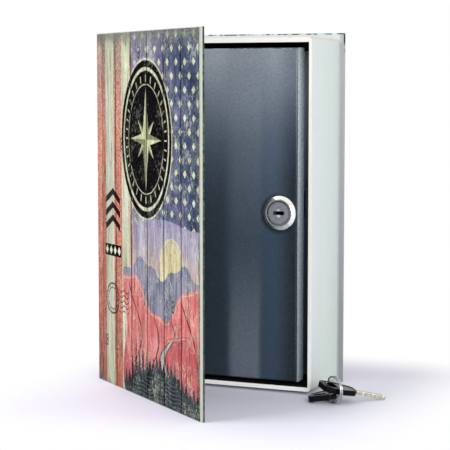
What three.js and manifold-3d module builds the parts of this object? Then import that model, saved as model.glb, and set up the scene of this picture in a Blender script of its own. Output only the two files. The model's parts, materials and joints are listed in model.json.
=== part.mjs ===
// Book diversion safe: a hollow hardback book that stands upright and hides a small steel cash box.
// Millimetres. +X runs from the spine to the fore-edge, +Y from the front cover to the back, +Z is up.
// The origin is on the floor, at the middle of the spine board's bottom edge.
// The front cover is swung open, the steel lid is shut and unlocked, and the keys lie by the fore-edge.

import * as THREE from 'three';
import { mergeVertices } from 'three/addons/utils/BufferGeometryUtils.js';
import Module from 'manifold-3d';

const wasm = await Module();
wasm.setup();

// Driving dimensions: book case
const bookHeight = 240;
const bookWidth = 160;
const bookThickness = 58;
const boardThickness = 1.5;
const wrapThickness = 0.25;
const liningThickness = 0.25;
const liningMargin = 4;
const skinInset = 0.2;
const jointWidth = 7;
const jointThickness = 0.8;
const coverAngle = 39;

// Driving dimensions: page frame
const coverOverhang = 4;
const frameFloorClearance = 2.5;
const frameSideWall = 2;
const frameTopWall = 3.2;
const frameBottomWall = 2.8;
const frameCornerRound = 2.5;
const frameFlangeThickness = 2;
const frameFlangeOverlap = 14;
const rivetTailSpace = 1.6;

// Driving dimensions: lid and steel box
const sheet = 1;
const bendRadius = 1.6;
const lidRecess = 3.6;
const lidLeftGap = 5.4;
const lidRightGap = 9;
const lidTopGap = 3.4;
const lidBottomGap = 2.2;
const lidFlangeDepth = 12;
const pivotFromLidEdge = 3.5;
const pivotFromLidFace = 5.5;
const boxCornerRadius = 3.9;
const lidToBoxSide = 0.5;
const lidToBoxEnd = 1;

// Driving dimensions: lid pivots and rivets
const pinRadius = 1.5;
const pinHeadRadius = 3;
const pinTailRadius = 2.3;
const pinHeadHeight = 1.2;
const pinTailHeight = 0.8;
const hingeWasherRadius = 3.6;
const hingeWasherThickness = 0.5;
const rivetRadius = 1.6;
const rivetHeadRadius = 3.2;
const rivetTailRadius = 2.6;
const rivetHeadHeight = 1.2;
const rivetTailHeight = 1;
const rivetCrownRadius = 2;
const rivetCrownDrop = 0.2;
const rivetHeadEdge = 0.4;

// Driving dimensions: cam lock
const lockFromLidEdge = 12.2;
const lockHeight = 120.5;
const rimRadius = 11.5;
const rimHeight = 3;
const rimCrownRadius = 9.3;
const rimEdgeHeight = 1.2;
const rimEdgeRound = 0.4;
const lockBodyRadius = 9;
const lockBodyFlat = 8;
const lockBodyLength = 17;
const plugHeadRadius = 8.15;
const plugHeadThickness = 2.1;
const plugFaceSink = 0.2;
const plugRadius = 6;
const plugTailRadius = 4;
const plugTailFlat = 3;
const keywaySinkRadius = 3.1;
const keywaySinkDepth = 1;
const keywayEndWall = 1.2;
const waferCount = 5;
const waferPitch = 2.6;
const waferThickness = 1;
const waferLength = 9.8;
const waferHeight = 6;
const waferCorner = 0.5;
const clipThickness = 1.2;
const clipLegWidth = 1.9;
const clipLegLength = 8;
const clipBridge = 2.7;
const clipGrooveDepth = 1;
const camThickness = 2;
const camHubRadius = 7.5;
const camArmWidth = 8;
const camReach = 16.5;
const camWasherRadius = 5.5;
const camWasherThickness = 0.8;
const camScrewRadius = 2;
const camScrewLength = 4.5;
const camScrewHeadRadius = 4;
const camScrewHeadHeight = 2;
const camScrewHeadTopRadius = 2.8;
const camScrewHeadDome = 0.7;
const camScrewSlotWidth = 1.6;
const camScrewSlotDepth = 1;

// Driving dimensions: keys and their ring
const keyBowWidth = 19;
const keyBowNeckWidth = 12;
const keyBowLength = 23.5;
const keyBowThickness = 3.6;
const keyBowCorner = 5;
const keyBowShoulder = 13;
const keyNeckChamferLength = 1.7;
const keyNeckChamferWidth = 2.5;
const keyEyeCorner = 2.4;
const keyEyeLength = 12;
const keyEyeWidth = 7;
const keyEyeWeb = 3;
const keyBladeLength = 22;
const keyBladeWidth = 7.2;
const keyBladeThickness = 2;
const keyTangLength = 10;
const keyTangWidth = 6;
const keyTipChamfer = 2.2;
const keyCutCodes = [1, 3, 2, 3, 2];
const keyCutDepth = 0.35;
const keyCutMouth = 2.8;
const keyCutFlat = 0.7;
const keyGrooveWidth = 1.6;
const keyGrooveDepth = 0.5;
const keyGrooveOffset = 1;
const ringRadius = 8.5;
const ringWireRadius = 0.7;
const ringCoilGap = 0.5;
const ringJogAngle = 42;
const ringEndGap = 12;
const ringJogPlace = 135;

// Where the ring stands, and each key's eye: beside the ring's centre, behind it and above the floor
const ringPastForeEdge = 19;
const ringBeforeCase = 15;
const ringPlaneAngle = -36.5;
const lowerEyeBeside = 8.3;
const lowerEyeBehind = 2.5;
const lowerEyeHeight = 3.6;
const lowerKeyAngle = 98;
const lowerKeyPitch = 2.7;
const lowerKeyRoll = -8.7;
const upperEyeBeside = 3.3;
const upperEyeBehind = 2.6;
const upperEyeHeight = 10.15;
const upperKeyAngle = 40;
const upperKeyPitch = 12.8;
const upperKeyRoll = 4.7;

// Named clearances
const turnedGap = 0.3;
const seatGap = 0.25;
const blockGap = 0.4;
const holeClearance = 0.3;
const plugClearance = 0.3;
const keyClearance = 0.3;
const camSlotClearance = 0.6;

// How far a cutting or joining shape runs past the surface that it meets
const overcut = 1;

// How finely round shapes are cut
const roundSides = 48;
const smallRoundSides = 24;
const keywaySinkSides = 4;
const arcSteps = 8;
const ringStepsPerTurn = 24;
const ringSides = 6;

// Book case, worked out
const frontCoverThickness = wrapThickness + boardThickness + liningThickness + 2 * turnedGap;
const backCoverThickness = wrapThickness + boardThickness + liningThickness;
const frontBeadRadius = frontCoverThickness / 2 - turnedGap / 2;
const backBeadRadius = backCoverThickness / 2;
const spineInside = boardThickness / 2;
const spineOutside = -boardThickness / 2 - wrapThickness;
const foreEdge = spineOutside + bookWidth;
const caseFront = -bookThickness / 2;
const caseBack = bookThickness / 2;
const coverAxisY = caseFront + frontCoverThickness / 2;
const frontCoverInside = caseFront + frontCoverThickness;
const backCoverInside = caseBack - backCoverThickness;
const spineFront = coverAxisY + frontBeadRadius + turnedGap;

// Page frame, worked out
const frameLeft = spineInside;
const frameRight = foreEdge - coverOverhang;
const frameBottom = frameFloorClearance;
const frameTop = bookHeight - coverOverhang;
const frameFront = frontCoverInside + blockGap;
const frameRear = backCoverInside;
const frameInnerLeft = frameLeft + frameSideWall;
const frameInnerRight = frameRight - frameSideWall;
const frameInnerBottom = frameBottom + frameBottomWall;
const frameInnerTop = frameTop - frameTopWall;
const flangeRear = frameRear - rivetTailSpace;
const flangeFront = flangeRear - frameFlangeThickness;

// Lid and steel box, worked out
const lidFace = frameFront + lidRecess;
const lidLeft = frameInnerLeft + lidLeftGap;
const lidRight = frameInnerRight - lidRightGap;
const lidBottom = frameInnerBottom + lidBottomGap;
const lidTop = frameInnerTop - lidTopGap;
const pivotX = lidLeft + pivotFromLidEdge;
const pivotY = lidFace + pivotFromLidFace;
const boxLeft = pivotX - boxCornerRadius;
const boxFront = pivotY - boxCornerRadius;
const boxRight = lidRight - sheet - lidToBoxSide;
const boxBottom = lidBottom + sheet + lidToBoxEnd;
const boxTop = lidTop - sheet - lidToBoxEnd;
const boxRear = flangeFront;
const rivetInset = frameFlangeOverlap / 2;
const rivetPlaces = [
  [boxLeft + rivetInset, boxBottom + rivetInset],
  [boxRight - rivetInset, boxBottom + rivetInset],
  [boxLeft + rivetInset, boxTop - rivetInset],
  [boxRight - rivetInset, boxTop - rivetInset],
];

// Lock, worked out: distances behind the lid's face, on the lock's own axis
const lockX = lidRight - lockFromLidEdge;
const keywayLength = keyBladeWidth + 2 * keyClearance;
const keywayWidth = keyBladeThickness + 2 * keyClearance;
const plugHeadFront = -rimHeight + plugFaceSink;
const plugHeadRear = plugHeadFront + plugHeadThickness;
const plugBarrelRear = lockBodyLength + seatGap;
const camFront = plugBarrelRear + seatGap;
const camRear = camFront + camThickness;
const camWasherFront = camRear + seatGap;
const camWasherRear = camWasherFront + camWasherThickness;
const camScrewHeadFront = camWasherRear + seatGap;
const clipFront = sheet + seatGap;
const clipRear = clipFront + clipThickness;
const firstWafer = lockBodyLength / 2 - (waferPitch * (waferCount - 1)) / 2;

// Keys and ring, worked out. In a key's own frame the eye is at the origin and the tip is on +X
const ringX = foreEdge + ringPastForeEdge;
const ringY = caseFront - ringBeforeCase;
const lowerKeyPlace = [ringX - lowerEyeBeside, ringY + lowerEyeBehind, lowerEyeHeight];
const upperKeyPlace = [ringX - upperEyeBeside, ringY + upperEyeBehind, upperEyeHeight];
const bowEnd = -keyEyeWidth / 2 - keyEyeWeb;
const bowNeck = bowEnd + keyBowLength;
const bladeTip = bowNeck + keyBladeLength;
const tangStart = bowNeck - keyTangLength;

// Solids: a closed three.js geometry becomes a manifold solid for cutting and joining, and comes back
function solid(geometry) {
  const bare = geometry.clone();
  bare.deleteAttribute('normal');
  bare.deleteAttribute('uv');
  const merged = mergeVertices(bare, 1e-5);
  const vertProperties = new Float32Array(merged.attributes.position.array);
  const triVerts = new Uint32Array(merged.index.array);
  return new wasm.Manifold(new wasm.Mesh({ numProp: 3, vertProperties, triVerts }));
}

function geometryOf(manifold) {
  const mesh = manifold.getMesh();
  const geometry = new THREE.BufferGeometry();
  geometry.setAttribute('position', new THREE.BufferAttribute(mesh.vertProperties, 3));
  geometry.setIndex(new THREE.BufferAttribute(mesh.triVerts, 1));
  geometry.computeVertexNormals();
  return geometry;
}

function cut(body, ...tools) {
  return tools.reduce((left, tool) => left.subtract(tool), body);
}

function block(low, high) {
  const size = high.map((value, i) => value - low[i]);
  const middle = high.map((value, i) => (value + low[i]) / 2);
  return new THREE.BoxGeometry(...size).translate(...middle);
}

// An outline pushed from start to end: drawn in (X, Y) for axis z, (X, Z) for axis y and (Y, Z) for axis x
function extruded(shape, axis, start, end) {
  const options = { depth: end - start, bevelEnabled: false, curveSegments: arcSteps };
  const geometry = new THREE.ExtrudeGeometry(shape, options);
  const [x, y, z] = [new THREE.Vector3(1, 0, 0), new THREE.Vector3(0, 1, 0), new THREE.Vector3(0, 0, 1)];
  const turn = new THREE.Matrix4();
  if (axis === 'z') return geometry.translate(0, 0, start);
  if (axis === 'x') return geometry.applyMatrix4(turn.makeBasis(y, z, x)).translate(start, 0, 0);
  return geometry.applyMatrix4(turn.makeBasis(x, z, y.negate())).translate(0, end, 0);
}

// A round bar along one axis, centred on the other two
function bar(axis, radius, start, end, centre = [0, 0], sides = roundSides) {
  const geometry = new THREE.CylinderGeometry(radius, radius, end - start, sides);
  const middle = (start + end) / 2;
  if (axis === 'y') return geometry.translate(centre[0], middle, centre[1]);
  return geometry.rotateX(Math.PI / 2).translate(centre[0], centre[1], middle);
}

// A turned piece on the Y axis, from pairs of radius and place
function turned(profile, sides = smallRoundSides) {
  return new THREE.LatheGeometry(profile.map(([radius, place]) => new THREE.Vector2(radius, place)), sides);
}

function ringProfile(inner, outer, start, end) {
  return [[inner, start], [outer, start], [outer, end], [inner, end], [inner, start]];
}

function polygon(points) {
  return new THREE.Shape(points.map(([x, y]) => new THREE.Vector2(x, y)));
}

function roundedRectangle(left, right, bottom, top, radius, shape = new THREE.Shape()) {
  const quarter = Math.PI / 2;
  shape.absarc(right - radius, bottom + radius, radius, -quarter, 0, false);
  shape.absarc(right - radius, top - radius, radius, 0, quarter, false);
  shape.absarc(left + radius, top - radius, radius, quarter, 2 * quarter, false);
  shape.absarc(left + radius, bottom + radius, radius, 2 * quarter, 3 * quarter, false);
  return shape.closePath();
}

// A round bar along Y with two flats, as a lock's body and its hole have
function flattedBar(radius, flat, start, end) {
  const slab = block([-flat, start, -radius], [flat, end, radius]);
  return solid(bar('y', radius, start, end)).intersect(solid(slab));
}

// Finishes
function finish(color, roughness, metalness = 0) {
  return new THREE.MeshStandardMaterial({ color, roughness, metalness });
}

const printedWrap = finish(0xb9b09a, 0.6);
const liningPaper = finish(0xd9dad6, 0.85);
const greyBoard = finish(0x9b948a, 0.95);
const jointCloth = finish(0x5c5a52, 0.8);
const pagePlastic = finish(0xd6dfda, 0.55);
const boxPaint = finish(0x232b33, 0.6, 0.2);
const lidPaint = finish(0x3c4a57, 0.5, 0.3);
const zincSteel = finish(0xa9adb0, 0.4, 0.9);
const chrome = finish(0xe6e8ea, 0.15, 1);
const plugMetal = finish(0x8f9499, 0.45, 0.9);
const waferBrass = finish(0xb79a55, 0.4, 0.9);
const keyPlastic = finish(0x0d0d10, 0.3);
const keyNickel = finish(0xc9c3a6, 0.3, 0.9);

function piece(parent, name, geometry, material) {
  const mesh = new THREE.Mesh(geometry, material);
  mesh.name = name;
  parent.add(mesh);
  return mesh;
}

// Book case
function coverSkin(y0, y1, margin) {
  const low = [jointWidth + margin, y0, skinInset + margin];
  return block(low, [foreEdge - margin, y1, bookHeight - skinInset - margin]);
}

// The flexible hinge strip between spine and board: a bead on the fold line and a thin tongue
function jointStrip(end, beadRadius) {
  const half = jointThickness / 2;
  const turn = Math.asin(half / beadRadius);
  const shape = new THREE.Shape();
  shape.moveTo(end, -half);
  shape.lineTo(end, half);
  shape.absarc(0, 0, beadRadius, turn, 2 * Math.PI - turn, false);
  shape.closePath();
  return extruded(shape, 'z', skinInset, bookHeight - skinInset);
}

function addFrontCover(parent) {
  const cover = new THREE.Group();
  cover.position.set(0, coverAxisY, 0);
  cover.rotation.z = THREE.MathUtils.degToRad(-coverAngle);
  parent.add(cover);
  const outside = -frontCoverThickness / 2;
  const boardFront = outside + wrapThickness + turnedGap;
  const board = block([jointWidth, boardFront, 0], [foreEdge, boardFront + boardThickness, bookHeight]);
  const liningFront = -outside - liningThickness;
  piece(cover, 'front_cover_board', board, greyBoard);
  piece(cover, 'front_cover_wrap', coverSkin(outside, outside + wrapThickness, 0), printedWrap);
  piece(cover, 'front_cover_lining', coverSkin(liningFront, -outside, liningMargin), liningPaper);
  piece(cover, 'front_joint', jointStrip(jointWidth - turnedGap, frontBeadRadius), jointCloth);
}

function addBackCover(parent) {
  const boardFront = backCoverInside + liningThickness;
  const boardRear = boardFront + boardThickness;
  const board = block([jointWidth, boardFront, 0], [foreEdge, boardRear, bookHeight]);
  const joint = jointStrip(jointWidth, backBeadRadius).translate(0, caseBack - backBeadRadius, 0);
  piece(parent, 'back_cover_board', board, greyBoard);
  piece(parent, 'back_cover_wrap', coverSkin(boardRear, caseBack, 0), printedWrap);
  piece(parent, 'back_cover_lining', coverSkin(backCoverInside, boardFront, 0), liningPaper);
  piece(parent, 'back_joint', joint, jointCloth);
}

function addSpine(parent) {
  const board = block([-spineInside, spineFront, 0], [spineInside, backCoverInside, bookHeight]);
  const wrapLow = [spineOutside, spineFront, skinInset];
  const wrap = block(wrapLow, [-spineInside, backCoverInside, bookHeight - skinInset]);
  piece(parent, 'spine_board', board, greyBoard);
  piece(parent, 'spine_wrap', wrap, printedWrap);
}

// The four holes that the rivets pass through, in a wall that runs from front to rear
function rivetHoles(front, rear) {
  const radius = rivetRadius + holeClearance / 2;
  const ends = [front - overcut, rear + overcut];
  return rivetPlaces.map((place) => solid(bar('y', radius, ...ends, place, smallRoundSides)));
}

// Page frame: four walls that look like page edges, with a flange inside the rear for the steel box
function addPageFrame(parent) {
  const round = frameCornerRound;
  const outline = new THREE.Shape();
  outline.moveTo(frameLeft, frameTop);
  outline.lineTo(frameLeft, frameBottom);
  outline.absarc(frameRight - round, frameBottom + round, round, -Math.PI / 2, 0, false);
  outline.absarc(frameRight - round, frameTop - round, round, 0, Math.PI / 2, false);
  outline.closePath();
  const outer = extruded(outline, 'y', frameFront, frameRear);
  const inner = (y0, y1) => solid(block(
    [frameInnerLeft, y0, frameInnerBottom],
    [frameInnerRight, y1, frameInnerTop],
  ));
  const window = block(
    [boxLeft + frameFlangeOverlap, flangeFront - overcut, boxBottom + frameFlangeOverlap],
    [boxRight - frameFlangeOverlap, flangeRear + overcut, boxTop - frameFlangeOverlap],
  );
  const holes = rivetHoles(flangeFront, flangeRear);
  const frontRoom = inner(frameFront - overcut, flangeFront);
  const rearRoom = inner(flangeRear, frameRear + overcut);
  const frame = cut(solid(outer), frontRoom, rearRoom, solid(window), ...holes);
  piece(parent, 'page_frame', geometryOf(frame), pagePlastic);
}

// Steel box: a tray open to the front, its left front corner rounded so that the lid can swing round it
function addSafeBox(parent) {
  const outline = new THREE.Shape();
  outline.moveTo(boxLeft, boxRear);
  outline.lineTo(boxLeft, pivotY);
  outline.absarc(pivotX, pivotY, boxCornerRadius, Math.PI, 1.5 * Math.PI, false);
  outline.lineTo(boxRight, boxFront);
  outline.lineTo(boxRight, boxRear);
  outline.closePath();
  const cavity = block(
    [boxLeft + sheet, boxFront - overcut, boxBottom + sheet],
    [boxRight - sheet, boxRear - sheet, boxTop - sheet],
  );
  const pastWalls = [boxBottom - overcut, boxTop + overcut];
  const pivotHoles = bar('z', pinRadius + holeClearance, ...pastWalls, [pivotX, pivotY], smallRoundSides);
  const wallFromLock = boxRight - sheet - lockX;
  const camRise = Math.sqrt(camReach ** 2 - wallFromLock ** 2) + camSlotClearance;
  const camDrop = camArmWidth / 2 + camSlotClearance;
  const camSlot = block(
    [boxRight - sheet - overcut, lidFace + camFront - camSlotClearance, lockHeight - camDrop],
    [boxRight + overcut, lidFace + camRear + camSlotClearance, lockHeight + camRise],
  );
  const holes = rivetHoles(boxRear - sheet, boxRear);
  const tray = solid(extruded(outline, 'z', boxBottom, boxTop));
  const box = cut(tray, solid(cavity), solid(pivotHoles), solid(camSlot), ...holes);
  piece(parent, 'safe_box', geometryOf(box), boxPaint);
}

// Rivets hold the box's back to the frame's flange: a domed head in the box, a set tail behind the flange
function addBoxRivets(parent) {
  const headBack = boxRear - sheet;
  const headFront = headBack - rivetHeadHeight;
  const headEdge = headBack - rivetHeadEdge;
  const tailRear = flangeRear + rivetTailHeight;
  const profile = [
    [0, headFront], [rivetCrownRadius, headFront + rivetCrownDrop], [rivetHeadRadius, headEdge],
    [rivetHeadRadius, headBack], [rivetRadius, headBack], [rivetRadius, flangeRear],
    [rivetTailRadius, flangeRear], [rivetTailRadius, tailRear], [0, tailRear],
  ];
  rivetPlaces.forEach(([x, z], i) => {
    piece(parent, `box_rivet_${i + 1}`, turned(profile), zincSteel).position.set(x, 0, z);
  });
}

// Lid pivots: a headed pin through the lid's end flange, a washer and the box's end wall
function addPivots(parent) {
  const washerNear = sheet + (lidToBoxEnd - hingeWasherThickness) / 2;
  const holeRadius = pinRadius + holeClearance;
  const washer = ringProfile(holeRadius, hingeWasherRadius, washerNear, washerNear + hingeWasherThickness);
  const headNear = 2 * sheet + lidToBoxEnd + seatGap;
  const pin = [
    [0, -seatGap - pinTailHeight], [pinTailRadius, -seatGap - pinTailHeight], [pinTailRadius, -seatGap],
    [pinRadius, -seatGap], [pinRadius, headNear], [pinHeadRadius, headNear],
    [pinHeadRadius, headNear + pinHeadHeight], [0, headNear + pinHeadHeight],
  ];
  const ends = [['top', boxTop - sheet, 1], ['bottom', boxBottom + sheet, -1]];
  ends.forEach(([name, innerFace, direction]) => {
    const end = new THREE.Group();
    end.position.set(pivotX, pivotY, innerFace);
    end.rotation.x = (direction * Math.PI) / 2;
    parent.add(end);
    piece(end, `hinge_pin_${name}`, turned(pin), zincSteel);
    piece(end, `hinge_washer_${name}`, turned(washer), zincSteel);
  });
}

// Lid: a folded pan with flanges at the top, bottom and fore-edge, open beside the pivots
function addLid(parent) {
  const plan = new THREE.Shape();
  const lidRear = lidFace + lidFlangeDepth;
  plan.moveTo(lidLeft, lidRear);
  plan.lineTo(lidLeft, lidFace);
  plan.absarc(lidRight - bendRadius, lidFace + bendRadius, bendRadius, -Math.PI / 2, 0, false);
  plan.lineTo(lidRight, lidRear);
  plan.closePath();
  const side = new THREE.Shape();
  side.moveTo(lidRear, lidBottom);
  side.lineTo(lidRear, lidTop);
  side.absarc(lidFace + bendRadius, lidTop - bendRadius, bendRadius, Math.PI / 2, Math.PI, false);
  side.absarc(lidFace + bendRadius, lidBottom + bendRadius, bendRadius, Math.PI, 1.5 * Math.PI, false);
  side.closePath();
  const outer = solid(extruded(plan, 'z', lidBottom, lidTop));
  const bends = solid(extruded(side, 'x', lidLeft - overcut, lidRight + overcut));
  const cavity = block(
    [lidLeft - overcut, lidFace + sheet, lidBottom + sheet],
    [lidRight - sheet, lidRear + overcut, lidTop - sheet],
  );
  const pastEnds = [lidBottom - overcut, lidTop + overcut];
  const pivotHoles = bar('z', pinRadius + holeClearance, ...pastEnds, [pivotX, pivotY], smallRoundSides);
  const holeSize = [lockBodyRadius + holeClearance, lockBodyFlat + holeClearance];
  const lockHole = flattedBar(...holeSize, -overcut, sheet + overcut);
  const placedHole = lockHole.translate([lockX, lidFace, lockHeight]);
  const lid = cut(outer.intersect(bends), solid(cavity), solid(pivotHoles), placedHole);
  piece(parent, 'safe_lid', geometryOf(lid), lidPaint);
}

// Lock housing: rosette on the lid's face, a flatted body behind it, and grooves for the clip
function addLockHousing(lock) {
  const rim = turned([
    [0, -rimHeight], [rimCrownRadius, -rimHeight], [rimRadius - rimEdgeRound, -rimEdgeHeight - rimEdgeRound],
    [rimRadius, -rimEdgeHeight], [rimRadius, 0], [0, 0],
  ], roundSides);
  const body = flattedBar(lockBodyRadius, lockBodyFlat, -rimHeight / 2, lockBodyLength);
  const recessEnds = [-rimHeight - overcut, plugHeadRear + plugClearance];
  const recess = bar('y', plugHeadRadius + plugClearance, ...recessEnds);
  const bore = bar('y', plugRadius + plugClearance, -rimHeight, lockBodyLength + overcut);
  const grooveEdge = lockBodyFlat - clipGrooveDepth;
  const grooves = [-1, 1].map((side) => {
    const ends = [side * grooveEdge, side * (lockBodyFlat + overcut)].sort((a, b) => a - b);
    const low = [ends[0], clipFront - seatGap, -lockBodyRadius];
    return solid(block(low, [ends[1], clipRear + seatGap, lockBodyRadius]));
  });
  const housing = cut(solid(rim).add(body), solid(recess), solid(bore), ...grooves);
  piece(lock, 'lock_housing', geometryOf(housing), chrome);
}

// A fork-shaped spring clip slides into the body's grooves and pulls the rosette against the lid
function addLockClip(lock) {
  const inner = lockBodyFlat - clipGrooveDepth + turnedGap;
  const outer = inner + clipLegWidth;
  const crotch = lockBodyRadius + turnedGap;
  const fork = polygon([
    [-outer, -clipLegLength], [-inner, -clipLegLength], [-inner, crotch], [inner, crotch],
    [inner, -clipLegLength], [outer, -clipLegLength],
    [outer, crotch + clipBridge], [-outer, crotch + clipBridge],
  ]);
  piece(lock, 'lock_clip', extruded(fork, 'y', clipFront, clipRear), zincSteel);
}

function addPlug(lock) {
  const head = bar('y', plugHeadRadius, plugHeadFront, plugHeadRear);
  const barrel = bar('y', plugRadius, plugHeadRear - overcut, plugBarrelRear);
  const tail = flattedBar(plugTailRadius, plugTailFlat, plugBarrelRear - overcut, camRear);
  const keyway = block(
    [-keywayLength / 2, plugHeadFront - overcut, -keywayWidth / 2],
    [keywayLength / 2, plugBarrelRear - keywayEndWall, keywayWidth / 2],
  );
  const sink = turned([
    [0, plugHeadFront - overcut], [keywaySinkRadius, plugHeadFront - overcut],
    [keywaySinkRadius, plugHeadFront], [0, plugHeadFront + keywaySinkDepth],
  ], keywaySinkSides);
  const screwHole = bar('y', camScrewRadius + holeClearance, camRear - camScrewLength, camRear + overcut);
  const slots = Array.from({ length: waferCount }, (_, i) => {
    const half = [waferThickness / 2 + plugClearance, waferHeight / 2 + plugClearance];
    const place = firstWafer + i * waferPitch;
    const low = [-plugRadius - overcut, place - half[0], -half[1]];
    return solid(block(low, [plugRadius + overcut, place + half[0], half[1]]));
  });
  const whole = solid(head).add(solid(barrel)).add(tail);
  const plug = cut(whole, solid(keyway), solid(sink), solid(screwHole), ...slots);
  piece(lock, 'lock_plug', geometryOf(plug), plugMetal);
}

function addWafers(lock) {
  const edges = [-waferLength / 2, waferLength / 2, -waferHeight / 2, waferHeight / 2];
  const shape = roundedRectangle(...edges, waferCorner);
  const [x, z] = [keywayLength / 2 + plugClearance, keywayWidth / 2 + plugClearance];
  shape.holes.push(polygon([[-x, -z], [x, -z], [x, z], [-x, z]]));
  for (let i = 0; i < waferCount; i += 1) {
    const place = firstWafer + i * waferPitch;
    const plate = extruded(shape, 'y', place - waferThickness / 2, place + waferThickness / 2);
    piece(lock, `lock_wafer_${i + 1}`, plate, waferBrass);
  }
}

// Cam: a hub on the plug's tail and an arm that points up when the lock is open
function addCam(lock) {
  const half = camArmWidth / 2;
  const turn = Math.asin(half / camHubRadius);
  const shape = new THREE.Shape();
  shape.absarc(0, 0, camHubRadius, Math.PI / 2 + turn, 2.5 * Math.PI - turn, false);
  shape.absarc(0, camReach - half, half, 0, Math.PI, false);
  shape.closePath();
  const holeSize = [plugTailRadius + holeClearance, plugTailFlat + holeClearance];
  const hole = flattedBar(...holeSize, camFront - overcut, camRear + overcut);
  piece(lock, 'lock_cam', geometryOf(cut(solid(extruded(shape, 'y', camFront, camRear)), hole)), zincSteel);
  const bore = camScrewRadius + holeClearance;
  const washer = ringProfile(bore, camWasherRadius, camWasherFront, camWasherRear);
  piece(lock, 'cam_washer', turned(washer), zincSteel);
}

function addCamScrew(lock) {
  const headRear = camScrewHeadFront + camScrewHeadHeight;
  const screw = turned([
    [0, camRear - camScrewLength + seatGap], [camScrewRadius, camRear - camScrewLength + seatGap],
    [camScrewRadius, camScrewHeadFront], [camScrewHeadRadius, camScrewHeadFront],
    [camScrewHeadRadius, headRear - camScrewHeadDome], [camScrewHeadTopRadius, headRear], [0, headRear],
  ]);
  const slot = block(
    [-camScrewHeadRadius, headRear - camScrewSlotDepth, -camScrewSlotWidth / 2],
    [camScrewHeadRadius, headRear + overcut, camScrewSlotWidth / 2],
  );
  piece(lock, 'cam_screw', geometryOf(cut(solid(screw), solid(slot))), zincSteel);
}

function addLock(parent) {
  const lock = new THREE.Group();
  lock.position.set(lockX, lidFace, lockHeight);
  parent.add(lock);
  addLockHousing(lock);
  addLockClip(lock);
  addPlug(lock);
  addWafers(lock);
  addCam(lock);
  addCamScrew(lock);
}

// Split ring: one wire that goes nearly twice round, side by side, with a jog where it changes lane
class SplitRing extends THREE.Curve {
  getPoint(t) {
    const jogStart = 360 - ringJogAngle;
    const angle = t * (360 + jogStart - ringEndGap);
    const lane = ringWireRadius + ringCoilGap / 2;
    const offset = lane * (2 * THREE.MathUtils.smoothstep(angle, jogStart, 360) - 1);
    const turn = THREE.MathUtils.degToRad(angle);
    return new THREE.Vector3(ringRadius * Math.cos(turn), offset, ringRadius * Math.sin(turn));
  }
}

// The least clear distance between stretches of a wire that lie at least three wire widths apart along it
function leastGapToItself(curve, wireRadius, samples = 400) {
  const points = curve.getSpacedPoints(samples);
  const step = points[0].distanceTo(points[1]);
  const wireWidth = 2 * wireRadius;
  const apart = Math.ceil((3 * wireWidth) / step);
  let least = Infinity;
  for (let i = 0; i < points.length; i += 1) {
    for (let j = i + apart; j < points.length; j += 1) {
      least = Math.min(least, points[i].distanceTo(points[j]));
    }
  }
  return least - wireWidth;
}

function addKeyRing(parent) {
  const path = new SplitRing();
  const turns = 2 - (ringJogAngle + ringEndGap) / 360;
  const corners = Array.from({ length: ringSides }, (_, i) => {
    const angle = (i * 2 * Math.PI) / ringSides;
    return [ringWireRadius * Math.cos(angle), ringWireRadius * Math.sin(angle)];
  });
  const steps = Math.round(turns * ringStepsPerTurn);
  const options = { steps, bevelEnabled: false, extrudePath: path };
  const ring = piece(parent, 'key_ring', new THREE.ExtrudeGeometry(polygon(corners), options), chrome);
  ring.position.set(ringX, ringY, ringRadius + ringWireRadius);
  const turnInPlane = 360 - ringJogAngle / 2 - ringJogPlace;
  const turnsXYZ = [0, turnInPlane, ringPlaneAngle].map(THREE.MathUtils.degToRad);
  ring.rotation.set(...turnsXYZ, 'ZXY');
  console.log(`key_ring least gap to itself: ${leastGapToItself(path, ringWireRadius).toFixed(2)} mm`);
}

// A key: a steel blade whose tang sits in a moulded bow, cut along both edges, with an eye for the ring
function bowOutline() {
  const [wide, narrow] = [keyBowWidth / 2, keyBowNeckWidth / 2];
  const shoulder = bowEnd + keyBowShoulder;
  const corner = keyBowCorner;
  const shape = new THREE.Shape();
  shape.moveTo(shoulder, -wide);
  shape.lineTo(bowNeck - keyNeckChamferLength, -narrow);
  shape.lineTo(bowNeck, keyNeckChamferWidth - narrow);
  shape.lineTo(bowNeck, narrow - keyNeckChamferWidth);
  shape.lineTo(bowNeck - keyNeckChamferLength, narrow);
  shape.lineTo(shoulder, wide);
  shape.absarc(bowEnd + corner, wide - corner, corner, Math.PI / 2, Math.PI, false);
  shape.absarc(bowEnd + corner, corner - wide, corner, Math.PI, 1.5 * Math.PI, false);
  shape.closePath();
  const eye = [-keyEyeWidth / 2, keyEyeWidth / 2, -keyEyeLength / 2, keyEyeLength / 2];
  shape.holes.push(roundedRectangle(...eye, keyEyeCorner, new THREE.Path()));
  return shape;
}

function keyBow() {
  const half = keyBowThickness / 2;
  const pocket = block(
    [tangStart - turnedGap, -keyTangWidth / 2 - turnedGap, -keyBladeThickness / 2 - turnedGap],
    [bowNeck + overcut, keyTangWidth / 2 + turnedGap, keyBladeThickness / 2 + turnedGap],
  );
  return geometryOf(cut(solid(extruded(bowOutline(), 'z', -half, half)), solid(pocket)));
}

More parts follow.
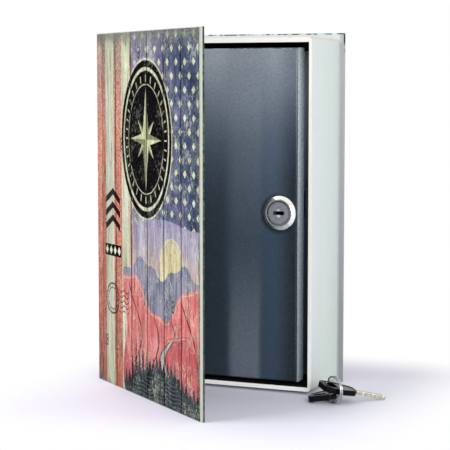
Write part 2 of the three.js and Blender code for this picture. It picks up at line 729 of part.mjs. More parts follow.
function keyBlade() {
  const [half, tang, thick] = [keyBladeWidth / 2, keyTangWidth / 2, keyBladeThickness / 2];
  const start = bowNeck + turnedGap;
  const tip = keyTipChamfer;
  const pitch = (bladeTip - start - 2 * tip) / keyCutCodes.length;
  const cutEdge = (side, codes) => codes.flatMap((code, i) => {
    const x = start + tip + (i + 0.5) * pitch;
    const [mouth, flat, floor] = [keyCutMouth / 2, keyCutFlat / 2, side * (half - code * keyCutDepth)];
    return [[x - mouth, side * half], [x - flat, floor], [x + flat, floor], [x + mouth, side * half]];
  });
  const outline = polygon([
    [tangStart, -tang], [bowNeck, -tang], [start, -half], ...cutEdge(-1, keyCutCodes),
    [bladeTip - tip, -half], [bladeTip, tip - half], [bladeTip, half - tip], [bladeTip - tip, half],
    ...cutEdge(1, keyCutCodes.toReversed()).reverse(), [start, half], [bowNeck, tang], [tangStart, tang],
  ]);
  const grooves = [-1, 1].map((side) => {
    const ends = [side * (thick - keyGrooveDepth), side * (thick + overcut)].sort((a, b) => a - b);
    const middle = side * keyGrooveOffset;
    const low = [start, middle - keyGrooveWidth / 2, ends[0]];
    return solid(block(low, [bladeTip + overcut, middle + keyGrooveWidth / 2, ends[1]]));
  });
  return geometryOf(cut(solid(extruded(outline, 'z', -thick, thick)), ...grooves));
}

function addKey(parent, name, place, angle, pitch, roll) {
  const key = new THREE.Group();
  key.position.set(...place);
  const turns = [roll, pitch, angle].map(THREE.MathUtils.degToRad);
  key.rotation.set(...turns, 'ZYX');
  parent.add(key);
  piece(key, `${name}_bow`, keyBow(), keyPlastic);
  piece(key, `${name}_blade`, keyBlade(), keyNickel);
}

// The whole safe
const book = new THREE.Group();
addSpine(book);
addBackCover(book);
addFrontCover(book);
addPageFrame(book);
addSafeBox(book);
addBoxRivets(book);
addPivots(book);
addLid(book);
addLock(book);
addKeyRing(book);
addKey(book, 'key_1', lowerKeyPlace, lowerKeyAngle, lowerKeyPitch, lowerKeyRoll);
addKey(book, 'key_2', upperKeyPlace, upperKeyAngle, upperKeyPitch, upperKeyRoll);

export default book;
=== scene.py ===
# Looks for a book diversion safe: a printed case, a page block, a steel box with a locked lid, and keys
# Metres, in the row's frame: +X from the spine to the fore-edge, +Y from the front cover to the back, +Z up
import json
import math

import bmesh
import bpy
from mathutils import Matrix, Vector


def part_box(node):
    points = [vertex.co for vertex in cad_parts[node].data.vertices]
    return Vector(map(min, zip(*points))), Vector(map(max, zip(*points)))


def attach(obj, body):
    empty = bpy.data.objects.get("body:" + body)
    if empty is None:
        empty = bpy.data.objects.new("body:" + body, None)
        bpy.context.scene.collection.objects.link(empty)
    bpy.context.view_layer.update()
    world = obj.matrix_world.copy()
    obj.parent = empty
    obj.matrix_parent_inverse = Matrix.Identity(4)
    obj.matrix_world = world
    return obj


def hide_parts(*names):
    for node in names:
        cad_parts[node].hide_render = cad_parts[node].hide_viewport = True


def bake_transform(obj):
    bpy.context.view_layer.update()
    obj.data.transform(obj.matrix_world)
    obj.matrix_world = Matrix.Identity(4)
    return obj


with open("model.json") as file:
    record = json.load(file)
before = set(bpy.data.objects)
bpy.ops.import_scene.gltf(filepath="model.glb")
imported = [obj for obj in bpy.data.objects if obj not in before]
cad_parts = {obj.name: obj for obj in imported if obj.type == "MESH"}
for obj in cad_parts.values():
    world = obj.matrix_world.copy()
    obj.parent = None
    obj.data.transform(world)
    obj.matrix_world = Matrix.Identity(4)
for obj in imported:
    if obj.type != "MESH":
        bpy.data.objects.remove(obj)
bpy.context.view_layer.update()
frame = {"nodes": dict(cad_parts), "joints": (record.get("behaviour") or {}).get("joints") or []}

MM = 0.001
JOINTS = {joint["name"]: joint for joint in frame["joints"]}

# Where things are, read from the frame
cover_axis = Vector(JOINTS["cover_hinge"]["pos_m"])
cover_angle = math.radians(-JOINTS["cover_hinge"]["range_deg"][0])
cover_place = Matrix.Translation(cover_axis) @ Matrix.Rotation(-cover_angle, 4, "Z")
lock_axis = Vector(JOINTS["lock_turn"]["pos_m"])
back_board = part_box("back_cover_board")
back_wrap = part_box("back_cover_wrap")
back_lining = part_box("back_cover_lining")
spine_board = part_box("spine_board")
spine_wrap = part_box("spine_wrap")
page_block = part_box("page_frame")
lid_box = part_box("safe_lid")
board_left, board_right = back_board[0].x, back_board[1].x
book_height = back_board[1].z

# Boards, papers and cloth
cover_half = 1.3 * MM
board_half = 0.75 * MM
board_inset = 0.3 * MM
paper = 0.25 * MM
paper_gap = 0.02 * MM
turn_in = 14 * MM
front_lining_margin = 4.2 * MM
back_lining_margin = 5.5 * MM
cloth_thickness = 0.3 * MM
cloth_inset = 0.1 * MM
fold_steps = 8
groove_depth, groove_steps = 0.35 * MM, 10

# The same object in millimetres, as the finishes measure it
book_top, fore_edge, spine_half = 240, 159, 27
lid_top, lid_bend_x, lid_bend_y = 229.4, 143.85, -22.15
box_wall_x = 142.3
plank_width, stripe_width = 25.2, 13.4
print_bump = (0.07, 0.6)

# The camera, at the photograph's viewing angle
camera_place = (0.50426, -0.96936, 0.20664)
camera_pitch = 0.09234
camera_yaw = 0.41063
camera_lens = 123.16


def linear(code):
    """A colour written as a web code, as the linear values that Blender's sockets take"""
    parts = [int(code[i : i + 2], 16) / 255 for i in (1, 3, 5)]
    return tuple(c / 12.92 if c <= 0.04045 else ((c + 0.055) / 1.055) ** 2.4 for c in parts) + (1,)


# Node trees: short calls for the nodes that the finishes are made of
def chained(operation):
    """A method for a Math operation, run along all the values that it is given"""

    def run(self, first, *others):
        for other in others:
            first = self.math(operation, first, other)
        return first

    return run


def single(operation):
    """A method for a Math operation on one value"""
    return lambda self, value: self.math(operation, value)


class Graph:
    plus, minus = chained("ADD"), chained("SUBTRACT")
    times, over = chained("MULTIPLY"), chained("DIVIDE")
    both, either, least = chained("MULTIPLY"), chained("MAXIMUM"), chained("MINIMUM")
    angle = chained("ARCTAN2")
    size_of, root, sine = single("ABSOLUTE"), single("SQRT"), single("SINE")
    floor, fract = single("FLOOR"), single("FRACT")

    def __init__(self, tree):
        self.tree = tree

    def feed(self, socket, value):
        if isinstance(value, bpy.types.NodeSocket):
            self.tree.links.new(value, socket)
        elif isinstance(value, str):
            socket.default_value = linear(value)
        else:
            socket.default_value = value

    def node(self, kind, inputs=None, **settings):
        made = self.tree.nodes.new("ShaderNode" + kind)
        for name, value in settings.items():
            setattr(made, name, value)
        for name, value in (inputs or {}).items():
            self.feed(made.inputs[name], value)
        return made

    def math(self, operation, *values):
        return self.node("Math", dict(enumerate(values)), operation=operation).outputs[0]

    def flip(self, a):
        return self.minus(1, a)

    def weigh(self, a, b, share):
        """A mean of two values, with the second one's share"""
        return self.plus(self.times(a, 1 - share), self.times(b, share))

    def rise(self, value, low, high, to_low=0, to_high=1):
        """Goes smoothly from to_low to to_high while the value goes from low to high"""
        inputs = {0: value, 1: low, 2: high, 3: to_low, 4: to_high}
        return self.node("MapRange", inputs, interpolation_type="SMOOTHSTEP").outputs[0]

    def below(self, value, edge, soft=0.15):
        return self.rise(value, edge - soft, edge + soft, 1, 0)

    def above(self, value, edge, soft=0.15):
        return self.rise(value, edge - soft, edge + soft)

    def between(self, value, low, high, soft=0.15):
        return self.both(self.above(value, low, soft), self.below(value, high, soft))

    def length(self, x, y):
        return self.root(self.plus(self.times(x, x), self.times(y, y)))

    def wave(self, value, period, height, shift=0):
        turns = self.plus(self.times(value, 2 * math.pi / period), shift)
        return self.times(self.sine(turns), height)

    def spokes(self, x, y, count):
        """Rises from 0 to 1 and falls again, this many times in half a turn about the centre"""
        return self.size_of(self.sine(self.times(self.angle(y, x), count)))

    def mix(self, factor, a, b, blend="MIX"):
        inputs = {0: factor, 6: a, 7: b}
        return self.node("Mix", inputs, data_type="RGBA", blend_type=blend).outputs[2]

    def coats(self, colour, *coats):
        """Coats over a colour, each given with its mask"""
        for mask, coat_colour in coats:
            colour = self.mix(mask, colour, coat_colour)
        return colour

    def noise(self, place, scale, detail, rough=0.5, twist=0):
        inputs = dict(Vector=place, Scale=scale, Detail=detail, Roughness=rough, Distortion=twist)
        return self.node("TexNoise", inputs).outputs["Fac"]

    def stretch(self, vector, scale):
        return self.node("Mapping", {"Vector": vector, "Scale": scale}).outputs[0]

    def parts(self, vector):
        return self.node("SeparateXYZ", {0: vector}).outputs

    def join(self, x, y, z):
        return self.node("CombineXYZ", {0: x, 1: y, 2: z}).outputs[0]

    def shades(self, factor, *stops):
        """Colours along a ramp, each given with its place"""
        ramp = self.node("ValToRGB", {0: factor})
        elements = ramp.color_ramp.elements
        while len(elements) < len(stops):
            elements.new(0.5)
        for element, (place, code) in zip(elements, stops):
            element.position = place
            element.color = linear(code)
        return ramp.outputs[0]

    def bump(self, height, distance, strength):
        inputs = {"Height": height, "Distance": distance, "Strength": strength}
        return self.node("Bump", inputs).outputs[0]

    def group(self, tree, **inputs):
        return self.node("Group", inputs, node_tree=tree).outputs


class Effect(Graph):
    """A shared node group, fed with a place in millimetres and other numbers"""

    def __init__(self, name, *numbers):
        super().__init__(bpy.data.node_groups.new(name, "ShaderNodeTree"))
        self.add_socket("Place", "INPUT", "Vector")
        for number in numbers:
            self.add_socket(number, "INPUT", "Float")
        self.given = self.tree.nodes.new("NodeGroupInput").outputs

    def add_socket(self, name, side, kind):
        self.tree.interface.new_socket(name=name, in_out=side, socket_type="NodeSocket" + kind)

    def give(self, **results):
        for name in results:
            self.add_socket(name, "OUTPUT", "Float")
        sockets = self.tree.nodes.new("NodeGroupOutput").inputs
        for name, value in results.items():
            self.feed(sockets[name], value)
        return self.tree


class Finish(Graph):
    """One material, with its Principled shader and the piece's own coordinates in millimetres"""

    def __init__(self, name, **sockets):
        self.material = bpy.data.materials.new(name)
        self.material.use_nodes = True
        super().__init__(self.material.node_tree)
        self.shader = self.tree.nodes["Principled BSDF"]
        self.set(**sockets)

    def set(self, **sockets):
        for name, value in sockets.items():
            self.feed(self.shader.inputs[name.replace("_", " ")], value)

    def skin(self, colour, height, depth, strength, **sockets):
        """Sets the colour, a bump with its depth in millimetres and any other sockets"""
        self.set(Base_Color=colour, Normal=self.bump(height, depth * MM, strength), **sockets)
        return self.material

    def place(self, origin=(0, 0, 0), turn=0):
        """The place in millimetres from an origin, in a frame turned about the vertical"""
        where = self.node("TexCoord").outputs["Object"]
        inputs = dict(Vector=where, Location=origin, Rotation=(0, 0, turn), Scale=(MM, MM, MM))
        return self.node("Mapping", inputs, vector_type="TEXTURE").outputs[0]


# Shared effects
def make_planks():
    """Whitewashed upright boards: grain, seams, knots and worn paint"""
    g = Effect("weathered_planks", "Width", "Start")
    width = g.given["Width"]
    x, _, z = g.parts(g.given["Place"])
    sway = g.times(g.minus(g.noise(g.join(0, 0, z), 0.03, 2), 0.5), 1.2)
    across = g.over(g.minus(g.plus(x, sway), g.given["Start"]), width)
    board = g.floor(across)
    inside = g.fract(across)
    from_seam = g.times(g.minus(0.5, g.size_of(g.minus(inside, 0.5))), width)
    seam = g.below(from_seam, 0.6, 0.3)
    shifted = g.join(x, g.times(board, 37), z)
    along_grain = g.stretch(shifted, (1, 1, 0.05))
    grain = g.noise(along_grain, 1.1, 5, 0.65, 0.8)
    broad = g.noise(g.stretch(shifted, (0.25, 1, 0.02)), 0.7, 3, 0.6, 0.4)
    streak = g.weigh(grain, broad, 0.35)
    cells = {"Vector": g.stretch(shifted, (1, 1, 0.5)), "Scale": 0.02}
    from_knot = g.node("TexVoronoi", cells, feature="F1").outputs["Distance"]
    patch = g.noise(shifted, 0.06, 3, 0.6)
    fleck = g.noise(g.stretch(shifted, (1, 1, 0.6)), 0.7, 5, 0.75)
    split = g.noise(along_grain, 0.75, 4, 0.65, 0.8)
    crack = g.rise(g.plus(split, g.times(patch, 0.12)), 0.675, 0.7)
    return g.give(
        Streak=streak,
        Seam=seam,
        Knot=g.either(g.below(from_knot, 0.035, 0.01), g.between(from_knot, 0.062, 0.076, 0.005)),
        Worn=g.rise(g.weigh(fleck, patch, 0.35), 0.53, 0.6),
        Crack=crack,
        Speck=g.rise(g.noise(shifted, 0.8, 5, 0.8), 0.56, 0.62),
        Height=g.minus(g.times(streak, 0.35), g.either(seam, g.times(crack, 0.6))),
    )


def make_coat():
    """Fine powder-coat texture"""
    g = Effect("powder_coat_grain", "Grain")
    place, grain = g.given["Place"], g.given["Grain"]
    pebble = g.noise(place, grain, 2, 0.55)
    fine = g.noise(place, g.times(grain, 3.1), 1)
    return g.give(
        Fleck=g.rise(fine, 0.6, 0.72),
        Grit=g.rise(g.noise(place, 0.9, 5, 0.85), 0.58, 0.66),
        Mottle=g.noise(place, 0.05, 3, 0.6),
        Height=g.weigh(pebble, fine, 0.3),
    )


def make_handling():
    """Faint smears and hair scratches on bright metal and gloss plastic"""
    g = Effect("handling_marks", "Grain")
    place, grain = g.given["Place"], g.given["Grain"]
    x, y, z = g.parts(place)
    turned = g.join(g.plus(x, g.times(z, 0.6)), y, g.minus(z, g.times(x, 0.6)))
    hair = g.noise(g.stretch(turned, (6, 6, 0.25)), grain, 2)
    smear = g.noise(place, g.times(grain, 0.35), 3, 0.6, 0.5)
    return g.give(Smear=smear, Scratch=g.rise(hair, 0.62, 0.7))


planks = make_planks()
coat = make_coat()
handling = make_handling()

# Finishes of the printed case
cream = "#dfe3c0"
print_black = "#121116"


def cream_wash(g, place):
    """The cream that the stripes are painted on"""
    return g.shades(g.noise(place, 0.02, 3), (0.35, "#dbe3bd"), (0.65, "#e6e9cf"))


def worn_navy(g, place):
    """Navy behind the diamonds of the spine and the back"""
    tone = g.noise(place, 0.05, 5, 0.7)
    return g.shades(tone, (0.35, "#6a688f"), (0.5, "#3f4c79"), (0.7, "#22345c"))


def from_ends(g, z):
    """How far a place is from the nearer end of the book"""
    return g.least(z, g.minus(book_top, z))


def from_centre(g, x, y, centre):
    return g.minus(x, centre[0]), g.minus(y, centre[1])


def oval(g, x, y, centre, radii):
    """How far out a place is, as a share of an oval's own radius there"""
    dx, dy = from_centre(g, x, y, centre)
    return g.length(g.over(dx, radii[0]), g.over(dy, radii[1]))


def kite(g, x, y, half_width, half_height):
    """A diamond's mask, on its own centre"""
    reach = g.plus(g.over(g.size_of(x), half_width), g.over(g.size_of(y), half_height))
    return g.below(reach, 1, 0.05)


def wobble(g, place, x, y):
    """Hand-cut edges: the place, shifted by noise by up to half a millimetre"""
    first = g.minus(g.noise(place, 0.35, 3, 0.6), 0.5)
    second = g.minus(g.noise(g.stretch(place, (1.3, 1, 1.2)), 0.41, 3, 0.6), 0.5)
    return g.plus(x, first), g.plus(y, second)


def faded_red(g, z, base, place, mask):
    """Red paint over a base colour, worn thin in places and purple towards the top"""
    up = g.over(z, book_top)
    low = (0, "#c2573f"), (0.3, "#d9604a"), (0.7, "#dd5847")
    high = (0.88, "#bf3f4f"), (1, "#7c4c68")
    faded = g.shades(up, *low, *high)
    rub = g.noise(g.stretch(place, (1, 1, 0.8)), 1.2, 4, 0.8)
    thin = g.rise(g.plus(rub, g.times(up, 0.1)), 0.52, 0.68)
    return g.mix(g.both(mask, g.flip(g.times(thin, 0.75))), base, faded)


def stripes(g, x, z, place, start, width):
    """Broad upright stripes of faded red on the cream wash"""
    phase = g.fract(g.over(g.minus(x, start), width * 2))
    return faded_red(g, z, cream_wash(g, place), place, g.between(phase, 0.01, 0.5, 0.006))


def compass(g, dx, dy, colour, reach):
    """An eight-point compass rose with a light and a dark side to each point"""
    light, dark = "#dfe3b6", "#8a9068"
    diagonal = g.times(g.plus(dx, dy), math.sqrt(0.5)), g.times(g.minus(dy, dx), math.sqrt(0.5))
    short = diagonal, (0.11, 0.52), (0.52, 0.11)
    long = (dx, dy), (0.15, 1), (0.72, 0.14)
    for (a, b), upright, level in (short, long):
        side = g.above(g.times(a, b), 0, 0.4)
        points = [kite(g, a, b, reach * wide, reach * high) for wide, high in (upright, level)]
        colour = g.mix(g.either(*points), colour, g.mix(side, light, dark))
    return colour


def medallion(g, x, y, colour, centre, radii):
    """A black oval with a cream line round it, dial marks and a compass rose"""
    out = oval(g, x, y, centre, radii)
    dx, dy = from_centre(g, x, y, centre)
    beat = g.spokes(dx, dy, 16)
    marks = g.both(g.between(out, 0.74, 0.83, 0.008), g.below(beat, 0.24, 0.08))
    colour = g.coats(
        colour,
        (g.below(out, 1.045, 0.008), cream),
        (g.below(out, 1.02, 0.008), print_black),
        (g.between(out, 0.885, 0.93, 0.008), cream),
        (g.either(marks, g.between(out, 0.70, 0.715, 0.006)), "#c9cfa6"),
    )
    return compass(g, dx, dy, colour, radii[1] * 0.66)


def lattice(g, x, y, colour, region, cell):
    """Rows of small cream diamonds, every second row shifted"""
    row = g.floor(g.over(y, cell[1]))
    shifted = g.plus(x, g.times(g.math("PINGPONG", row, 1), cell[0] / 2))
    column = g.floor(g.over(shifted, cell[0]))
    dx = g.minus(shifted, g.times(g.plus(column, 0.5), cell[0]))
    dy = g.minus(y, g.times(g.plus(row, 0.5), cell[1]))
    mark = kite(g, dx, dy, cell[0] * 0.2, cell[1] * 0.3)
    return g.mix(g.both(mark, region), colour, cream)


def above_ridge(g, x, y, level, *waves):
    """Height above a skyline: a level and waves, each a period, a height and a shift"""
    return g.minus(y, g.plus(level, *[g.wave(x, *wave) for wave in waves]))


def hills(g, x, y, colour, place):
    """A low sun behind three ranges of hills and a dark shore"""
    shade = g.noise(g.stretch(place, (1, 1, 0.5)), 0.09, 3, 0.6)
    sun = oval(g, x, y, (117, 92), (17, 17))
    disc = g.both(g.below(sun, 1, 0.02), g.flip(g.between(sun, 0.84, 0.88, 0.01)))
    far = above_ridge(g, x, y, 87, (61, 5, 0.4), (23, 1.8, 1.9))
    middle = above_ridge(g, x, y, 68, (96, 13, 4.4), (31, 2.2, 0.7))
    fold = g.plus(g.times(x, 0.9), g.wave(y, 70, 9, 1))
    crease = g.both(g.below(g.size_of(g.wave(fold, 47, 1, 2)), 0.12, 0.05), g.below(middle, -6, 4))
    near = above_ridge(g, x, y, 35, (118, 15, 0.9), (37, 2, 2.2))
    haze = g.shades(shade, (0.35, "#77809a"), (0.65, "#a7a6b8"))
    coral = g.shades(shade, (0.3, "#e46a66"), (0.5, "#f08682"), (0.72, "#fbb0a9"))
    rose = g.shades(shade, (0.3, "#c9505a"), (0.7, "#e57a7a"))
    colour = g.coats(
        colour,
        (disc, "#e9dfae"),
        (g.below(far, 0, 0.2), haze),
        (g.below(middle, 0, 0.2), coral),
        (g.between(middle, -2.2, -1.4, 0.2), "#f3c9b4"),
        (g.times(crease, 0.85), "#5c1f29"),
        (g.below(near, 0, 0.2), rose),
        (g.between(near, -1.9, -1.2, 0.2), "#eab79c"),
    )
    return shore(g, x, y, trail(g, x, y, colour, near), shade)


def trail(g, x, y, colour, near):
    """A pale path with dark banks that winds up the near hill and gets narrower"""
    from_middle = g.size_of(g.minus(x, g.plus(112, g.wave(y, 44, 9, 0.6))))
    past_side = g.minus(from_middle, g.rise(y, 12, 50, 5.5, 1.2))
    on_hill = g.below(near, -2, 0.6)
    bank = g.both(g.below(past_side, 1, 0.3), on_hill)
    path = g.both(g.below(past_side, 0, 0.3), on_hill)
    return g.coats(colour, (bank, "#35262c"), (path, "#c9c3bd"))


def shore(g, x, y, colour, shade):
    """A dark shore with a grove of pointed firs, and rippled water in front"""
    bank = above_ridge(g, x, y, 13, (150, 9, 3.6), (29, 1, 0.5))
    grove = g.rise(g.size_of(g.minus(x, 66)), 2, 22, 40, 18)
    stem = g.over(g.plus(x, g.wave(y, 2.2, 0.25)), 5.4)
    tall = g.noise(g.join(g.floor(stem), 0, 0), 1.7, 0)
    spire = g.flip(g.times(g.size_of(g.minus(g.fract(stem), 0.5)), 2))
    ground = g.minus(bank, g.times(spire, tall, grove))
    slate = g.shades(shade, (0.3, "#262e35"), (0.7, "#4b575e"))
    water = g.size_of(g.wave(g.plus(y, g.wave(x, 19, 0.5)), 5.2, 1))
    ripple = g.both(g.below(water, 0.13, 0.06), g.below(bank, -3, 1), 0.6)
    return g.coats(colour, (g.below(ground, 0, 0.2), slate), (ripple, "#a9b0a2"))


def stamp(g, x, y, colour, centre):
    """A blank round hand stamp with waved cancelling lines"""
    dx, dy = from_centre(g, x, y, centre)
    out = g.length(dx, dy)
    rings = g.either(g.between(out, 9.7, 10.9), g.between(out, 7, 7.7))
    spoke = g.spokes(dx, dy, 6)
    ticks = g.both(g.between(out, 8, 9.2), g.below(spoke, 0.34, 0.1))
    line = g.size_of(g.wave(g.plus(y, g.wave(x, 9, 0.9)), 7, 1))
    tail = g.both(g.below(line, 0.34, 0.12), g.between(dx, 12, 27), g.between(dy, -8, 8))
    return g.mix(g.times(g.either(rings, ticks, tail), 0.92), colour, "#1d1b20")


def chevrons(g, x, y, colour, centre):
    """Three black chevrons, one above the other"""
    half_width, thickness, slant = 12, 4.5, 0.55
    dx, dy = from_centre(g, x, y, centre)
    dx = g.size_of(dx)
    slope = g.plus(dy, g.times(dx, slant))
    bars = g.either(*[g.between(slope, low, low + thickness) for low in (10, 1, -8)])
    return g.mix(g.times(g.both(bars, g.below(dx, half_width)), 0.985), colour, print_black)


def ribbon(g, x, y, colour, centre, half):
    """A small black bar with a row of four cream diamonds"""
    dx, dy = from_centre(g, x, y, centre)
    bar = g.both(g.below(g.size_of(dx), half[0]), g.below(g.size_of(dy), half[1]))
    colour = g.mix(bar, colour, print_black)
    step = half[0] / 2
    column = g.floor(g.over(dx, step))
    inside = g.minus(dx, g.times(g.plus(column, 0.5), step))
    return g.mix(g.both(kite(g, inside, dy, step * 0.36, half[1] * 0.74), bar), colour, cream)


def knots(g, x, y, colour, places):
    """Dark knots with a ring round each"""
    for centre in places:
        dx, dy = from_centre(g, x, y, centre)
        out = g.length(dx, g.times(dy, 0.6))
        mark = g.either(g.below(out, 0.9), g.between(out, 1.7, 2.5))
        colour = g.mix(g.times(mark, 0.85), colour, "#1f1c22")
    return colour


def weather(g, colour, board, wear=0.42):
    """Grain, worn paint, cracks, specks, knots and seams over a painted design"""
    grain = g.shades(board["Streak"], (0.3, "#6a6563"), (0.45, "#cbc8c2"), (0.6, "#ffffff"))
    colour = g.mix(1, colour, grain, "MULTIPLY")
    marks = (
        ("Worn", wear, "#d6dcba"),
        ("Speck", 0.55, "#3a3034"),
        ("Crack", 0.85, "#1f1b1e"),
        ("Knot", 0.85, "#231f24"),
        ("Seam", 0.94, "#141214"),
    )
    coats = [(g.times(board[name], strength), code) for name, strength, code in marks]
    return g.coats(colour, *coats)


def grimed_edge(g, place, from_edge, colour):
    """Grey-green grime that creeps in from a cover's edges, and a pale worn line right on them"""
    cloud = g.noise(place, 0.09, 4, 0.65)
    fine = g.noise(place, 1.1, 4, 0.75)
    reach = g.plus(g.times(cloud, 22), g.times(fine, 12))
    grime = g.rise(g.minus(reach, from_edge), 7, 14)
    colour = g.mix(g.times(grime, 0.75), colour, g.shades(fine, (0.4, "#3d3a40"), (0.6, "#868c7c")))
    worn_and_lit_edge = g.below(g.minus(from_edge, g.times(fine, 0.9)), 0, 0.12)
    return g.mix(g.times(worn_and_lit_edge, 0.7), colour, "#d3d6c4")


def front_edges(f, place, colour):
    """Grime, a frayed fore-edge, scuffs on the sides with their inner part darkened as painted shade, and
    the plain margin folded in round the board
    """
    x, depth, z = f.parts(place)
    from_fore_edge = f.minus(fore_edge, x)
    from_edge = f.least(x, f.plus(from_fore_edge, 4), f.plus(z, 7), f.minus(book_top, z))
    colour = grimed_edge(f, place, from_edge, colour)
    fray = f.times(f.noise(place, 0.5, 4, 0.75), 2.4)
    frayed = f.times(f.below(f.minus(from_fore_edge, fray), 1.1, 0.5), 0.85)
    # Painted shade: the inner part of the cover's edges is darkened, with scuffs in it
    scrape = f.noise(place, 0.3, 4, 0.75)
    scuff_and_shade = f.shades(scrape, (0.38, "#23292e"), (0.5, "#3d4346"), (0.65, "#62675f"))
    margin = f.shades(f.noise(place, 0.9, 5, 0.75), (0.35, "#a9aca3"), (0.6, "#c4c6bc"))
    return f.coats(
        colour,
        (frayed, "#bbc3ad"),
        (f.above(depth, -0.4, 0.4), scuff_and_shade),
        (f.above(depth, 0.98, 0.03), margin),
    )


def front_print():
    """The front cover's print: stripes, diamonds, hills at sunset and a compass medallion"""
    field_left, horizon = 57, 84
    scene_left, scene_top = 44, 112
    badge = (79, 170), (38, 50)
    knot_places = [(40, 166), (126, 146), (68, 226), (119, 66), (14, 30)]
    f = Finish("front_print")
    place = f.place(cover_axis, -cover_angle)
    x, _, z = f.parts(place)
    board = f.group(planks, Place=place, Width=plank_width, Start=5)
    u, v = wobble(f, place, x, z)
    colour = stripes(f, u, v, place, 0, stripe_width)
    beside = f.above(u, field_left, 0.4)
    sky = f.both(beside, f.above(v, horizon, 0.6))
    dusk = f.shades(f.over(v, book_top), (0.36, "#d6c3ba"), (0.44, "#bcb6cc"), (0.52, "#a19cc2"))
    field_edge = f.plus(118, f.wave(u, 90, 2, 0.5))
    field = f.both(beside, f.above(f.minus(v, field_edge), 0, 0.6))
    tone = f.plus(f.times(f.noise(place, 0.05, 5, 0.7), 0.75), f.times(f.over(u, fore_edge), 0.4))
    navies = (0.42, "#aea6b8"), (0.54, "#8884a4"), (0.68, "#566184"), (0.84, "#2e405c")
    navy = f.shades(tone, *navies)
    mould = f.rise(f.noise(place, 0.035, 4, 0.7), 0.52, 0.68, 0, 0.45)
    colour = f.coats(colour, (sky, dusk), (field, f.mix(mould, navy, "#6f7c70")))
    colour = lattice(f, u, v, colour, field, (12.4, 8.6))
    low = f.both(f.above(f.plus(u, f.wave(v, 60, 3)), scene_left, 0.5), f.below(v, scene_top, 0.5))
    colour = f.mix(low, colour, hills(f, u, v, colour, place))
    colour = medallion(f, u, v, colour, *badge)
    colour = knots(f, u, v, colour, knot_places)
    colour = weather(f, colour, board, f.rise(oval(f, u, v, *badge), 0.98, 1.04, 0.12, 0.42))
    colour = stamp(f, u, v, colour, (24, 60))
    colour = ribbon(f, u, v, colour, (25, 93), (13.5, 4))
    colour = chevrons(f, u, v, colour, (25, 121))
    colour = f.mix(f.rise(x, 42, 0, 0, 0.3), colour, "#4c443f")
    colour = front_edges(f, place, colour)
    rough = f.rise(board["Streak"], 0.3, 0.7, 0.44, 0.6)
    shine = f.rise(f.node("RGBToBW", {0: colour}).outputs[0], 0.01, 0.16, 0, 0.12)
    return f.skin(colour, board["Height"], *print_bump, Roughness=rough, Specular_IOR_Level=shine)


def hinge_print():
    """The cloth in the folds: the first red stripe, cracked by bending"""
    f = Finish("hinge_print", Roughness=0.55, Specular_IOR_Level=0.12)
    place = f.place()
    z = f.parts(place)[2]
    colour = faded_red(f, z, cream_wash(f, place), place, 1)
    board = f.group(planks, Place=place, Width=400, Start=-100)
    colour = weather(f, colour, board)
    fold = f.noise(f.stretch(place, (1, 1, 0.06)), 1.3, 4, 0.7)
    colour = f.mix(f.rise(fold, 0.55, 0.62, 0, 0.6), colour, "#cbcdb9")
    colour = grimed_edge(f, place, from_ends(f, z), colour)
    return f.skin(colour, f.plus(board["Height"], fold), 0.06, 0.6)


def spine_print():
    """The spine: the same boards, two diamond fields and a small medallion between stripes"""
    f = Finish("spine_print", Roughness=0.5, Specular_IOR_Level=0.12)
    x, y, z = f.parts(f.place())
    flat = f.join(y, 0, z)
    board = f.group(planks, Place=flat, Width=18, Start=-spine_half)
    u, v = wobble(f, flat, y, z)
    bands = f.either(f.above(v, 196, 0.4), f.below(v, 44, 0.4))
    colour = f.mix(bands, stripes(f, u, v, flat, -33, 6.6), worn_navy(f, flat))
    colour = f.mix(f.either(f.between(v, 190, 193), f.between(v, 47, 50)), colour, cream)
    colour = medallion(f, u, v, colour, (1, 120), (15, 20))
    colour = lattice(f, u, v, colour, bands, (13, 11))
    colour = weather(f, colour, board)
    from_edge = f.least(f.minus(spine_half, f.size_of(y)), from_ends(f, z))
    colour = grimed_edge(f, flat, f.plus(from_edge, 4), colour)
    colour = f.mix(f.above(x, -0.7, 0.12), colour, "#cdd3cc")
    return f.skin(colour, board["Height"], *print_bump)


def back_print():
    """The back cover: stripes and a diamond field on the same boards, with no picture"""
    f = Finish("back_print", Roughness=0.5, Specular_IOR_Level=0.12)
    place = f.place()
    x, y, z = f.parts(place)
    board = f.group(planks, Place=place, Width=plank_width, Start=6)
    u, v = wobble(f, place, x, z)
    colour = stripes(f, u, v, place, 4, stripe_width)
    field = f.both(f.above(u, 84.5, 0.4), f.above(v, 150, 0.6))
    colour = f.mix(field, colour, worn_navy(f, place))
    colour = lattice(f, u, v, colour, field, (19, 14.5))
    colour = weather(f, colour, board)
    from_edge = f.least(f.minus(fore_edge, x), from_ends(f, z))
    colour = grimed_edge(f, place, from_edge, colour)
    scuff = f.noise(f.stretch(place, (0.3, 1, 0.3)), 0.5, 4, 0.75)
    # Painted shade: the inside margin by the fore-edge is painted grey, paler towards the top
    fore = f.shades(f.over(z, book_top), (0.2, "#8f9193"), (0.9, "#a3a5a6"))
    edge = f.mix(f.above(x, 155.5, 1), "#c3cac6", fore)
    marked = f.both(f.below(from_edge, 0.8, 0.2), f.rise(scuff, 0.46, 0.52), f.above(z, 227, 0.5))
    edge = f.mix(marked, edge, "#333432")
    colour = f.mix(f.below(y, 28.72, 0.1), colour, edge)
    return f.skin(colour, board["Height"], *print_bump)


def endpaper():
    """Plain pale paper with a faint fibre, pasted over the inside of the boards"""
    f = Finish("endpaper", Roughness=0.8, Specular_IOR_Level=0.3)
    place = f.place()
    fibre = f.noise(f.stretch(place, (1, 1, 0.4)), 1.4, 4, 0.65)
    cloud = f.noise(place, 0.02, 3, 0.6)
    colour = f.shades(f.weigh(fibre, cloud, 0.5), (0.35, "#bfc1bf"), (0.65, "#d2d4d1"))
    return f.skin(colour, fibre, 0.03, 0.5)


